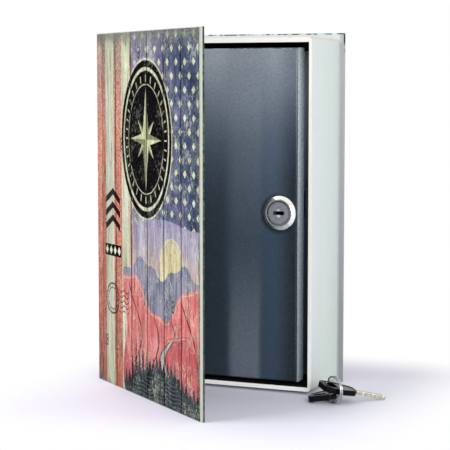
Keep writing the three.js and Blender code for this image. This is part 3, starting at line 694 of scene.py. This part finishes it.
def grey_board():
    """Raw pressed board"""
    f = Finish("grey_board", Roughness=0.95, Specular_IOR_Level=0.2)
    fibre = f.noise(f.place(), 2.2, 4, 0.7)
    colour = f.shades(fibre, (0.3, "#857d72"), (0.7, "#a89f93"))
    return f.skin(colour, fibre, 0.05, 0.6)


def page_edges():
    """Moulded plastic in the look of stacked leaves, with fine lines along every edge"""
    f = Finish("page_edges", Roughness=0.55, Specular_IOR_Level=0.15)
    place = f.place()
    x, y, z = f.parts(place)
    leaf = f.noise(f.join(f.times(x, 0.004), y, f.times(z, 0.004)), 2.6, 2, 0.6)
    bundle = f.noise(f.join(f.times(x, 0.002), y, f.times(z, 0.002)), 0.35, 3, 0.6)
    tone = f.weigh(leaf, bundle, 0.45)
    colour = f.shades(tone, (0.3, "#cbd7cf"), (0.5, "#d2dcd5"), (0.7, "#d9e1da"))
    # Painted light: the front rail's colour is paler towards the bottom, where the open cover's shade falls
    # on it
    rail_painted_light = f.shades(f.over(z, book_top), (0, "#f6f5ef"), (0.25, "#e6e4db"), (1, "#dcd9cf"))
    colour = f.coats(
        colour,
        (f.both(f.between(y, -21.5, -15.5, 1.5), 0.4), "#dcdbe8"),
        # Painted highlight: a warm pale band along the top of the side, where the rounded edge catches
        # light
        (f.both(f.above(z, 232.6, 0.8), f.below(z, 235.9, 0.06), 0.7), "#dfdbd0"),
        (f.both(f.below(y, -23.8, 1.4), 0.9), rail_painted_light),
        (f.rise(f.noise(place, 0.03, 3, 0.6), 0.55, 0.75, 0, 0.12), "#b9beb4"),
    )
    return f.skin(colour, leaf, 0.05, 0.45)


def inside_painted_shade():
    """The inside of the page block, painted black as painted shade so that the gap round the lid stays dark
    """
    f = Finish("inside_painted_shade", Roughness=0.9, Specular_IOR_Level=0.15)
    grain = f.noise(f.place(), 1.5, 3, 0.6)
    colour = f.shades(grain, (0.3, "#050506"), (0.7, "#0d0d0f"))
    return f.skin(colour, grain, 0.05, 0.5)


def lid_coat():
    """Slate powder coat, painted paler towards the top as painted light, with soft bands of painted
    reflection and a fore-edge flange painted pale as painted light
    """
    f = Finish("lid_coat", Specular_IOR_Level=0.4)
    place = f.place()
    x, y, z = f.parts(place)
    grain = f.group(coat, Place=place, Grain=1.5)
    soft = f.times(f.minus(f.noise(place, 0.02, 2), 0.5), 14)
    up = f.over(f.plus(z, soft), lid_top)
    across = f.plus(x, f.times(soft, 0.3))
    # Painted light: the coat's colour is paler towards the top, where the light and its reflection fall
    low = (0, "#3a4653"), (0.45, "#3f4e5b"), (0.72, "#5f6c79")
    high = (0.88, "#7b858f"), (1, "#8f979f")
    colour = f.shades(up, *low, *high)
    # Painted reflections: a pale band low in the middle, a duller grey at the top middle and a blue tint on
    # the right
    pale = f.between(across, 95, 117.5, 2.5)
    # Painted shadow: darker on the left and low down, where the open cover shades the lid
    deep = f.both(f.below(across, 95, 6), f.rise(z, 208, 115), 0.68)
    dull_reflection = f.both(f.between(across, 92, 120, 6), f.rise(z, 190, 215, 0, 0.3))
    blue_reflection = f.both(f.above(across, 118, 3), f.rise(z, 215, 150, 0.1, 0.34))
    # Painted shade: darker next to the fore-edge bend, more so low down
    bend_shade = f.both(f.rise(across, 126, 143), f.rise(z, 215, 130, 0.4, 0.95))
    # Painted shadow: a dark ring round the lock's rosette, centred a little to the left of it and below it
    from_lock = from_centre(f, x, z, (lock_axis.x / MM - 0.9, lock_axis.z / MM - 0.7))
    lock_shadow = f.rise(f.length(*from_lock), 14.5, 11.2, 0, 0.85)
    # Painted light: the fore-edge flange is painted pale and less metallic, paler towards the top
    worn_and_lit_edge = f.both(f.above(x, lid_bend_x, 0.08), f.above(y, lid_bend_y, 0.12))
    flange_painted_light = f.shades(up, (0, "#b9c3cf"), (1, "#d8dee4"))
    sparkle = f.rise(f.noise(place, 0.7, 3, 0.75), 0.48, 0.6, 0, 0.6)
    # Pale flecks of the coat's grit, placed mostly towards the top and in the pale band as painted glints
    grit_and_glint = f.either(f.rise(z, 150, 229, 0.16, 0.55), f.both(pale, f.rise(z, 130, 60), 0.45))
    pore = f.rise(f.noise(place, 1, 3, 0.8), 0.52, 0.36, 0, 0.26)
    # Painted highlight: a broken pale line along the top edge of the lid's face, where the bend catches the
    # light
    highlight_breaks = f.rise(f.noise(place, 0.3, 4, 0.8), 0.5, 0.56)
    by_face = f.below(y, lid_box[0].y / MM + 1, 0.3)
    top_edge = f.above(z, lid_box[1].z / MM - 0.7, 0.15)
    colour = f.coats(
        colour,
        (f.both(pale, f.rise(z, 104, 22), 0.55), "#7f8b97"),
        (deep, "#132430"),
        (dull_reflection, "#56626d"),
        (blue_reflection, "#284462"),
        (bend_shade, "#0a161f"),
        (lock_shadow, "#0b151e"),
        (worn_and_lit_edge, f.mix(sparkle, flange_painted_light, "#79848f")),
        (f.both(grain["Grit"], grit_and_glint), "#b4bcc4"),
        (f.both(pore, f.flip(worn_and_lit_edge)), "#1b252e"),
        (f.times(grain["Fleck"], 0.35), "#9ba5ae"),
        (f.both(top_edge, by_face, highlight_breaks, 0.85), "#d3d8dc"),
    )
    rough = f.rise(grain["Mottle"], 0.3, 0.7, 0.36, 0.44)
    metallic = f.rise(worn_and_lit_edge, 0, 1, 0.35, 0)
    return f.skin(colour, grain["Height"], 0.09, 0.7, Roughness=rough, Metallic=metallic)


def box_coat():
    """Dark textured powder coat inside and outside the steel box; its fore-edge wall's outer face is
    painted paler, more so towards the top, as painted light
    """
    f = Finish("box_coat", Metallic=0.1, Specular_IOR_Level=0.4)
    place = f.place()
    x, _, z = f.parts(place)
    grain = f.group(coat, Place=place, Grain=1.6)
    colour = f.shades(grain["Mottle"], (0.35, "#272f38"), (0.65, "#343e48"))
    colour = f.mix(f.times(grain["Fleck"], 0.5), colour, "#4c5762")
    # Painted light: the fore-edge wall's outer face, seen in the gap by the lid, is paler towards the top
    outer = f.shades(f.over(z, lid_top), (0.25, "#5f6b78"), (0.6, "#7f8a96"), (0.85, "#ccd3da"))
    colour = f.mix(f.above(x, box_wall_x, 0.08), colour, outer)
    rough = f.rise(grain["Mottle"], 0.3, 0.7, 0.46, 0.55)
    return f.skin(colour, grain["Height"], 0.09, 0.7, Roughness=rough)


def bright_metal(name, dark, light, rough, grain=1, scratch=0.06, nicks=0):
    """Plated metal with faint smears and scratches, and dark nicks where it is handled most"""
    f = Finish(name, Metallic=1)
    place = f.place()
    marks = f.group(handling, Place=place, Grain=grain)
    colour = f.shades(marks["Smear"], (0.3, dark), (0.7, light))
    if nicks:
        nick = f.rise(f.noise(place, 0.75, 4, 0.8), 0.58, 0.64, 0, nicks)
        colour = f.mix(nick, colour, "#55585c")
    smeared = f.rise(marks["Smear"], 0.3, 0.7, rough * 0.8, rough * 1.25)
    roughness = f.plus(smeared, f.times(marks["Scratch"], scratch))
    return f.skin(colour, marks["Scratch"], 0.01, 0.3, Roughness=roughness)


def turned_plug():
    """The lock cylinder's face, with fine rings from the lathe, a pitted edge and a dark groove round it,
    darker at the upper left as painted shade, and painted shade inside the keyway
    """
    f = Finish("turned_plug", Metallic=0.9)
    place = f.place(lock_axis)
    x, y, z = f.parts(place)
    out = f.length(x, z)
    ring = f.noise(f.join(out, 0, 0), 4, 3, 0.6)
    marks = f.group(handling, Place=place, Grain=2)
    bite = f.spokes(x, z, 17)
    pits = f.both(f.between(out, 6.9, 7.8, 0.1), f.below(bite, 0.6, 0.2))
    # A dark groove round the plug, darkened more towards the upper left as painted shade
    groove = f.both(f.above(out, 7.7, 0.1), f.rise(f.minus(x, z), 7, -4, 0.4, 1))
    tone = f.weigh(ring, marks["Smear"], 0.3)
    colour = f.shades(tone, (0.3, "#8b9099"), (0.5, "#b2b7c0"), (0.7, "#d6d9de"))
    colour = f.coats(
        colour,
        (f.rise(f.noise(place, 1.1, 4, 0.8), 0.5, 0.36, 0, 0.5), "#4d525a"),
        (f.times(pits, 0.9), "#1d1f23"),
        (f.times(groove, 0.9), "#121316"),
        # Painted shade: dark inside the keyway, behind its slanted mouth
        (f.both(f.above(y, 1.2, 0.3), f.below(out, 6.1, 0.3)), "#16171a"),
    )
    return f.skin(colour, ring, 0.03, 0.5, Roughness=f.rise(ring, 0.3, 0.7, 0.3, 0.46))


def moulded_black():
    """Glossy black plastic of the key bows, with faint moulding texture"""
    f = Finish("moulded_black", Specular_IOR_Level=0.1)
    marks = f.group(handling, Place=f.place(), Grain=1.2)
    colour = f.shades(marks["Smear"], (0.3, "#050507"), (0.7, "#0b0b10"))
    rough = f.plus(f.rise(marks["Smear"], 0.3, 0.7, 0.14, 0.24), f.times(marks["Scratch"], 0.15))
    return f.skin(colour, marks["Smear"], 0.02, 0.4, Roughness=rough)


front_paper = front_print()
hinge_cloth = hinge_print()
spine_paper = spine_print()
back_paper = back_print()
lining = endpaper()
card = grey_board()
page_plastic = page_edges()
inside_shade_paint = inside_painted_shade()
lid_paint = lid_coat()
box_paint = box_coat()
chrome = bright_metal("polished_chrome", "#efeee8", "#fcfbf5", 0.11, nicks=0.55)
sink = bright_metal("bright_sink", "#f6f5f0", "#ffffff", 0.42)
ring_chrome = bright_metal("ring_chrome", "#aeb2b6", "#cfd2d5", 0.2, 1.5, 0.1)
zinc = bright_metal("zinc_plate", "#9a9ea3", "#b8bbbf", 0.34, 1.5, 0.1)
brass = bright_metal("stamped_brass", "#a5813a", "#c4a052", 0.3, 2)
nickel = bright_metal("key_nickel", "#c3c1ad", "#dedbc8", 0.26, 2, 0.12)
plug_face = turned_plug()
key_black = moulded_black()


# Pieces: bmesh shapes, each put on the body that carries it
def in_scene(name, data):
    """A new object with this data, in the scene"""
    made = bpy.data.objects.new(name, data)
    bpy.context.scene.collection.objects.link(made)
    return made


def mesh_from(name, bm):
    mesh = bpy.data.meshes.new(name)
    bm.to_mesh(mesh)
    bm.free()
    return mesh


def block(bm, low, high):
    verts = bmesh.ops.create_cube(bm, size=1)["verts"]
    low, high = Vector(low), Vector(high)
    bmesh.ops.scale(bm, vec=high - low, verts=verts)
    bmesh.ops.translate(bm, vec=(low + high) / 2, verts=verts)


def round_edges(bm, edges, radius, segments=3):
    bmesh.ops.bevel(
        bm, geom=list(edges), offset=radius, offset_type="OFFSET", affect="EDGES",
        segments=segments, profile=0.5, material=-1, clamp_overlap=True,
    )


def soften(bm, angle):
    """Smooth shading, with edges sharper than the angle kept crisp"""
    limit = math.radians(angle)
    for face in bm.faces:
        face.smooth = True
    for edge in bm.edges:
        edge.smooth = edge.calc_face_angle(0) < limit


def piece_from(name, bm, finishes, body, node, place=None, soft=32):
    """A bmesh as a piece of the safe, riding on its body and standing for its CAD node"""
    if place is not None:
        bmesh.ops.transform(bm, matrix=place, verts=bm.verts)
    soften(bm, soft)
    piece = in_scene(name, mesh_from(name, bm))
    for finish in finishes:
        piece.data.materials.append(finish)
    if body is not None:
        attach(piece, body)
    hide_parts(node)
    return piece


def modify(piece, name, kind, **settings):
    modifier = piece.modifiers.new(name, kind)
    for setting, value in settings.items():
        setattr(modifier, setting, value)


def thicken(piece, thickness):
    """A sheet gets its thickness inwards from the surface that was drawn"""
    modify(piece, "paper", "SOLIDIFY", thickness=thickness, offset=-1, use_even_offset=True)


def break_edges(piece, radius, segments):
    """Takes the sharpness off a finished shape's edges, by a radius in millimetres"""
    modify(
        piece, "broken_edges", "BEVEL", width=radius * MM, segments=segments, limit_method="ANGLE",
        angle_limit=math.radians(35), harden_normals=True, use_clamp_overlap=True,
    )


def apply_modifiers(piece):
    """Writes a piece's modifiers into its mesh"""
    graph = bpy.context.evaluated_depsgraph_get()
    mesh = bpy.data.meshes.new_from_object(piece.evaluated_get(graph))
    piece.modifiers.clear()
    old = piece.data
    piece.data = mesh
    bpy.data.meshes.remove(old)


def wrapped_board(name, low, high, open_side, finish, body, node, place=None):
    """Printed paper round a board: rounded edges, open inside within the turned-in margin"""
    bm = bmesh.new()
    block(bm, low, high)
    round_edges(bm, bm.edges, 0.45 * MM)
    bm.faces.ensure_lookup_table()
    side = Vector(open_side)
    inner = max(bm.faces, key=lambda face: (round(face.normal.dot(side), 3), face.calc_area()))
    bmesh.ops.inset_region(bm, faces=[inner], thickness=turn_in, use_even_offset=True)
    bmesh.ops.delete(bm, geom=[inner], context="FACES")
    thicken(piece_from(name, bm, [finish], body, node, place), paper)


def sheet(name, low, high, slot, body, node, place=None):
    """A grey board or a lining paper with its edges just broken"""
    finish, radius = {"grey_board": (card, 0.2), "lining_paper": (lining, 0.1)}[slot]
    bm = bmesh.new()
    block(bm, low, high)
    round_edges(bm, bm.edges, radius * MM, 2)
    piece_from(name, bm, [finish], body, node, place)


def folded_cloth(name, path, body, node):
    """A strip of cloth: a line drawn on the floor plan, pulled up to the book's height"""
    bm = bmesh.new()
    verts = [bm.verts.new((x, y, cloth_inset)) for x, y in path]
    edges = [bm.edges.new(pair) for pair in zip(verts, verts[1:])]
    pulled = bmesh.ops.extrude_edge_only(bm, edges=edges)["geom"]
    raised = [item for item in pulled if isinstance(item, bmesh.types.BMVert)]
    bmesh.ops.translate(bm, vec=(0, 0, book_height - 2 * cloth_inset), verts=raised)
    cloth = piece_from(name, bm, [hinge_cloth], body, node, soft=80)
    thicken(cloth, cloth_thickness)
    apply_modifiers(cloth)
    return cloth


def along_arc(centre, radius, start, end):
    """Points on a fold, from one angle to another, in degrees"""
    angles = [math.radians(start + (end - start) * i / fold_steps) for i in range(fold_steps + 1)]
    return [(centre[0] + radius * math.cos(a), centre[1] + radius * math.sin(a)) for a in angles]


def across_joint():
    """Places across a cloth joint: how far from the fold, and how deep the groove is there"""
    span = board_left + 0.2 * MM
    shares = [i / groove_steps for i in range(1, groove_steps + 1)]
    return [(span * share, groove_depth * math.sin(math.pi * share) ** 2) for share in shares]


# The case: boards, printed paper and cloth hinges
def front_cover():
    inset, margin = board_inset, front_lining_margin
    sheet(
        "front_board", (board_left + inset, -board_half, inset),
        (board_right - inset, board_half, book_height - inset),
        "grey_board", "front_cover", "front_cover_board", cover_place,
    )
    wrapped_board(
        "front_printed_wrap", (board_left, -cover_half, 0),
        (board_right, cover_half - paper - paper_gap, book_height), (0, 1, 0),
        front_paper, "front_cover", "front_cover_wrap", cover_place,
    )
    sheet(
        "front_endpaper", (board_left + margin, cover_half - paper, margin),
        (board_right - margin, cover_half, book_height - margin),
        "lining_paper", "front_cover", "front_cover_lining", cover_place,
    )


def front_hinge():
    """The cloth from the spine round to the front board, drawn bent to the cover's angle and carried by no
    body
    """
    skin = spine_wrap[0].x
    on_spine = [(skin, cover_axis.y + 3.4 * MM), (skin - 0.05 * MM, cover_axis.y + 2 * MM)]
    fold = along_arc(cover_axis, cover_half, 180, 270 - math.degrees(cover_angle))
    across = [cover_place @ Vector((along, dip - cover_half, 0)) for along, dip in across_joint()]
    path = on_spine + fold + [(point.x, point.y) for point in across]
    cloth = folded_cloth("front_hinge_cloth", path, None, "front_joint")
    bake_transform(cloth)


def spine():
    low, high = spine_board
    inset = board_inset
    sheet(
        "spine_stiffener", (low.x + 0.03 * MM, low.y + inset, inset),
        (high.x - inset, high.y - inset, book_height - inset),
        "grey_board", "case", "spine_board",
    )
    wrapped_board(
        "spine_printed_wrap", (spine_wrap[0].x, low.y, 0),
        (high.x - paper_gap, high.y, book_height), (1, 0, 0),
        spine_paper, "case", "spine_wrap",
    )


def back_cover():
    low, high = back_board
    inset, margin = board_inset, back_lining_margin
    sheet(
        "back_board", (low.x + inset, low.y + 0.1 * MM, inset),
        (high.x - inset, high.y - 0.05 * MM, high.z - inset),
        "grey_board", "case", "back_cover_board",
    )
    wrapped_board(
        "back_printed_wrap", (low.x, back_lining[1].y + paper_gap, 0),
        (high.x, back_wrap[1].y, high.z), (0, -1, 0),
        back_paper, "case", "back_cover_wrap",
    )
    sheet(
        "back_endpaper", (low.x + margin, back_lining[0].y, margin),
        (high.x - margin, back_lining[1].y, high.z - margin),
        "lining_paper", "case", "back_cover_lining",
    )


def back_hinge():
    """The cloth from the spine round to the back board, which doesn't move"""
    radius = 1 * MM
    skin, rear = spine_wrap[0].x, back_wrap[1].y
    on_spine = [(skin, rear - 4.4 * MM), (skin - 0.05 * MM, rear - 3 * MM)]
    fold = along_arc((0, rear - radius), radius, 180, 90)
    across = [(along, rear - dip) for along, dip in across_joint()]
    path = list(reversed(on_spine + fold + across))
    folded_cloth("back_hinge_cloth", path, "case", "back_joint")


# Refined CAD nodes: merged copies with broken edges and smooth round faces
def merged_copy(node):
    bm = bmesh.new()
    bm.from_mesh(frame["nodes"][node].data)
    bmesh.ops.remove_doubles(bm, verts=bm.verts, dist=0.002 * MM)
    bmesh.ops.dissolve_limit(bm, angle_limit=math.radians(1), verts=bm.verts, edges=bm.edges)
    return bm


def refined(name, node, finishes, body, radius, segments=2, soft=32, paint=None):
    """A CAD node with its edges broken, and its faces painted by a rule if there is one"""
    bm = merged_copy(node)
    if paint is not None:
        for face in bm.faces:
            face.material_index = paint(face)
    made = piece_from(name, bm, finishes, body, node, soft=soft)
    break_edges(made, radius, segments)


def zinc_part(name, node, body, radius):
    refined(name, node, [zinc], body, radius)


def page_frame():
    """Pale outside and on the fore-edge wall, black as painted shade elsewhere inside, with rounded outer
    edges
    """
    low, high = page_block
    middle = (low + high) / 2
    wall, touch, corner = 4 * MM, 0.01 * MM, 3 * MM
    bm = merged_copy("page_frame")

    def is_outer(face):
        centre, normal = face.calc_center_median(), face.normal
        near = any(min(centre[i] - low[i], high[i] - centre[i]) < wall for i in range(3))
        outward = near and normal.dot(centre - middle) > 0 and abs(centre.y - high.y) > 0.1 * MM
        return outward or (normal.x < -0.9 and centre.x > high.x - wall)

    def from_nearer_end(point):
        return min(high.z - point.z, point.z - low.z)

    def on_outline(point):
        in_corner = point.x > high.x - corner and from_nearer_end(point) < corner
        return min(high.x - point.x, from_nearer_end(point)) < touch or in_corner

    for face in bm.faces:
        face.material_index = 0 if is_outer(face) else 1
    rear = [e for e in bm.edges if all(v.co.y > high.y - touch for v in e.verts)]
    wide = [e for e in rear if e.calc_face_angle(0) > 1 and all(on_outline(v.co) for v in e.verts)]
    round_edges(bm, wide, 1.1 * MM, 4)
    faces = [page_plastic, inside_shade_paint]
    made = piece_from("page_block", bm, faces, "case", "page_frame")
    break_edges(made, 0.35, 2)


def steel_parts():
    refined("steel_box", "safe_box", [box_paint], "case", 0.25)
    refined("inset_lid", "safe_lid", [lid_paint], "lid", 0.3, 3)
    for i in range(1, 5):
        zinc_part(f"rivet_{i}", f"box_rivet_{i}", "case", 0.1)
    for end in ("top", "bottom"):
        zinc_part(f"lid_pin_{end}", f"hinge_pin_{end}", "case", 0.15)
        zinc_part(f"lid_washer_{end}", f"hinge_washer_{end}", "case", 0.08)


def lock_parts():
    refined("lock_rosette", "lock_housing", [chrome], "lid", 0.2, 3, 40)
    zinc_part("lock_fork_clip", "lock_clip", "lid", 0.15)
    face_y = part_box("lock_plug")[0].y

    def in_sink(face):
        centre = face.calc_center_median()
        out = math.hypot(centre.x - lock_axis.x, centre.z - lock_axis.z)
        behind = centre.y - face_y
        slanted = 0.1 < abs(face.normal.y) < 0.99
        return 1 if slanted and out < 3.2 * MM and 0.01 * MM < behind < 1.2 * MM else 0

    faces = [plug_face, sink]
    refined("lock_cylinder", "lock_plug", faces, "lock", 0.1, 2, 40, in_sink)
    for i in range(1, 6):
        refined(f"wafer_{i}", f"lock_wafer_{i}", [brass], "lock", 0.1)
    zinc_part("cam_arm", "lock_cam", "lock", 0.2)
    zinc_part("cam_plain_washer", "cam_washer", "lock", 0.1)
    zinc_part("cam_slotted_screw", "cam_screw", "lock", 0.15)


def split_ring():
    """One wire that goes nearly twice round, with a jog where it changes lane"""
    low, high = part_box("key_ring")
    heading, start = math.radians(-36.5), math.radians(204)
    turned = Matrix.Rotation(heading, 4, "Z") @ Matrix.Rotation(start, 4, "Y")
    place = Matrix.Translation((low + high) / 2) @ turned
    radius, lane, wire = 8.55 * MM, 0.6 * MM, 0.52 * MM
    last, step, jog = 666, 4, 318
    curve = bpy.data.curves.new("ring_wire", "CURVE")
    curve.dimensions = "3D"
    curve.bevel_depth = wire
    curve.bevel_resolution = 4
    curve.use_fill_caps = True
    spline = curve.splines.new("POLY")
    angles = range(0, last + 1, step)
    spline.points.add(len(angles) - 1)
    for point, angle in zip(spline.points, angles):
        share = min(max((angle - jog) / (360 - jog), 0), 1)
        side = lane * (2 * share * share * (3 - 2 * share) - 1)
        turn = math.radians(angle)
        where = place @ Vector((radius * math.cos(turn), side, radius * math.sin(turn)))
        point.co = (*where, 1)
    wire_object = in_scene("ring_wire", curve)
    bm = bmesh.new()
    bm.from_mesh(wire_object.to_mesh())
    bpy.data.objects.remove(wire_object)
    bmesh.ops.remove_doubles(bm, verts=bm.verts, dist=0.002 * MM)
    bmesh.ops.recalc_face_normals(bm, faces=bm.faces)
    piece_from("split_ring", bm, [ring_chrome], "ring", "key_ring", soft=60)


def key_grip(i):
    """A bow with a raised border round a sunk channel on both faces"""
    border, slope, sunk = 1.2 * MM, 0.25 * MM, 0.34 * MM
    bm = merged_copy(f"key_{i}_bow")
    largest = max(bm.faces, key=lambda face: face.calc_area())
    up = largest.normal.copy()
    heights = [v.co.dot(up) for v in bm.verts]
    for side, level in ((1, max(heights)), (-1, min(heights))):
        flat = [f for f in bm.faces if f.normal.dot(up) * side > 0.99]
        flat = [f for f in flat if abs(f.calc_center_median().dot(up) - level) < 0.1 * MM]
        bmesh.ops.inset_region(bm, faces=flat, thickness=border, use_boundary=True)
        bmesh.ops.inset_region(bm, faces=flat, thickness=slope, depth=-sunk, use_boundary=True)
    made = piece_from(f"key_grip_{i}", bm, [key_black], f"key_{i}", f"key_{i}_bow")
    break_edges(made, 0.25, 2)


def keys():
    split_ring()
    for i in (1, 2):
        key_grip(i)
        refined(f"key_shank_{i}", f"key_{i}_blade", [nickel], f"key_{i}", 0.15)


# The studio: camera, floor, lamps and world
def make_camera():
    data = bpy.data.cameras.new("camera")
    data.lens = camera_lens
    data.sensor_width = 36
    camera = in_scene("camera", data)
    camera.location = camera_place
    camera.rotation_euler = (math.pi / 2 - camera_pitch, 0, camera_yaw)
    bpy.context.scene.camera = camera


def make_floor():
    """White paper that turns to pure white for the camera away from the book"""
    bm = bmesh.new()
    bmesh.ops.create_grid(bm, x_segments=1, y_segments=1, size=6)
    floor = in_scene("floor", mesh_from("floor", bm))
    centre, half_width, half_depth, soft = (0.105, -0.027, 0), 75, 87, 80
    f = Finish("floor_paper", Base_Color="#f1f0fe", Roughness=0.6, Specular_IOR_Level=0.25)
    x, y, _ = f.parts(f.place(centre))
    past_side = f.either(f.minus(f.size_of(x), half_width), 0)
    past_front = f.either(f.minus(f.size_of(y), half_depth), 0)
    far = f.rise(f.length(past_side, past_front), 0, soft)
    light = f.node("Emission", {"Color": (1, 1, 1, 1), "Strength": 1}).outputs[0]
    seen = f.node("LightPath").outputs["Is Camera Ray"]
    mixed = f.node("MixShader", {0: f.times(far, seen), 1: f.shader.outputs[0], 2: light})
    f.feed(f.tree.nodes["Material Output"].inputs["Surface"], mixed.outputs[0])
    floor.data.materials.append(f.material)


def make_lamp(name, place, target, side, power):
    data = bpy.data.lights.new(name, "AREA")
    data.shape = "RECTANGLE"
    data.size = data.size_y = side
    data.energy = power
    lamp = in_scene(name, data)
    lamp.location = place
    lamp.rotation_euler = (Vector(target) - Vector(place)).to_track_quat("-Z", "Y").to_euler()


def make_world():
    world = bpy.data.worlds.new("studio")
    bpy.context.scene.world = world
    world.use_nodes = True
    g = Graph(world.node_tree)
    paths = g.node("LightPath").outputs
    shown = g.either(paths["Is Camera Ray"], paths["Is Glossy Ray"], paths["Is Transmission Ray"])
    background = world.node_tree.nodes["Background"].inputs
    g.feed(background["Color"], (1, 1, 1, 1))
    g.feed(background["Strength"], g.rise(shown, 0, 1, 0.6, 1))


make_camera()
make_floor()
make_world()
make_lamp("key_light", (-0.82, -0.83, 1.2), target=(0.07, -0.05, 0.13), side=0.9, power=13)
make_lamp("side_fill", (1.2, -1.3, 0.55), target=(0.09, -0.03, 0.12), side=0.7, power=17.5)
bpy.context.scene.view_settings.view_transform = "Standard"

front_cover()
front_hinge()
spine()
back_cover()
back_hinge()
page_frame()
steel_parts()
lock_parts()
keys()
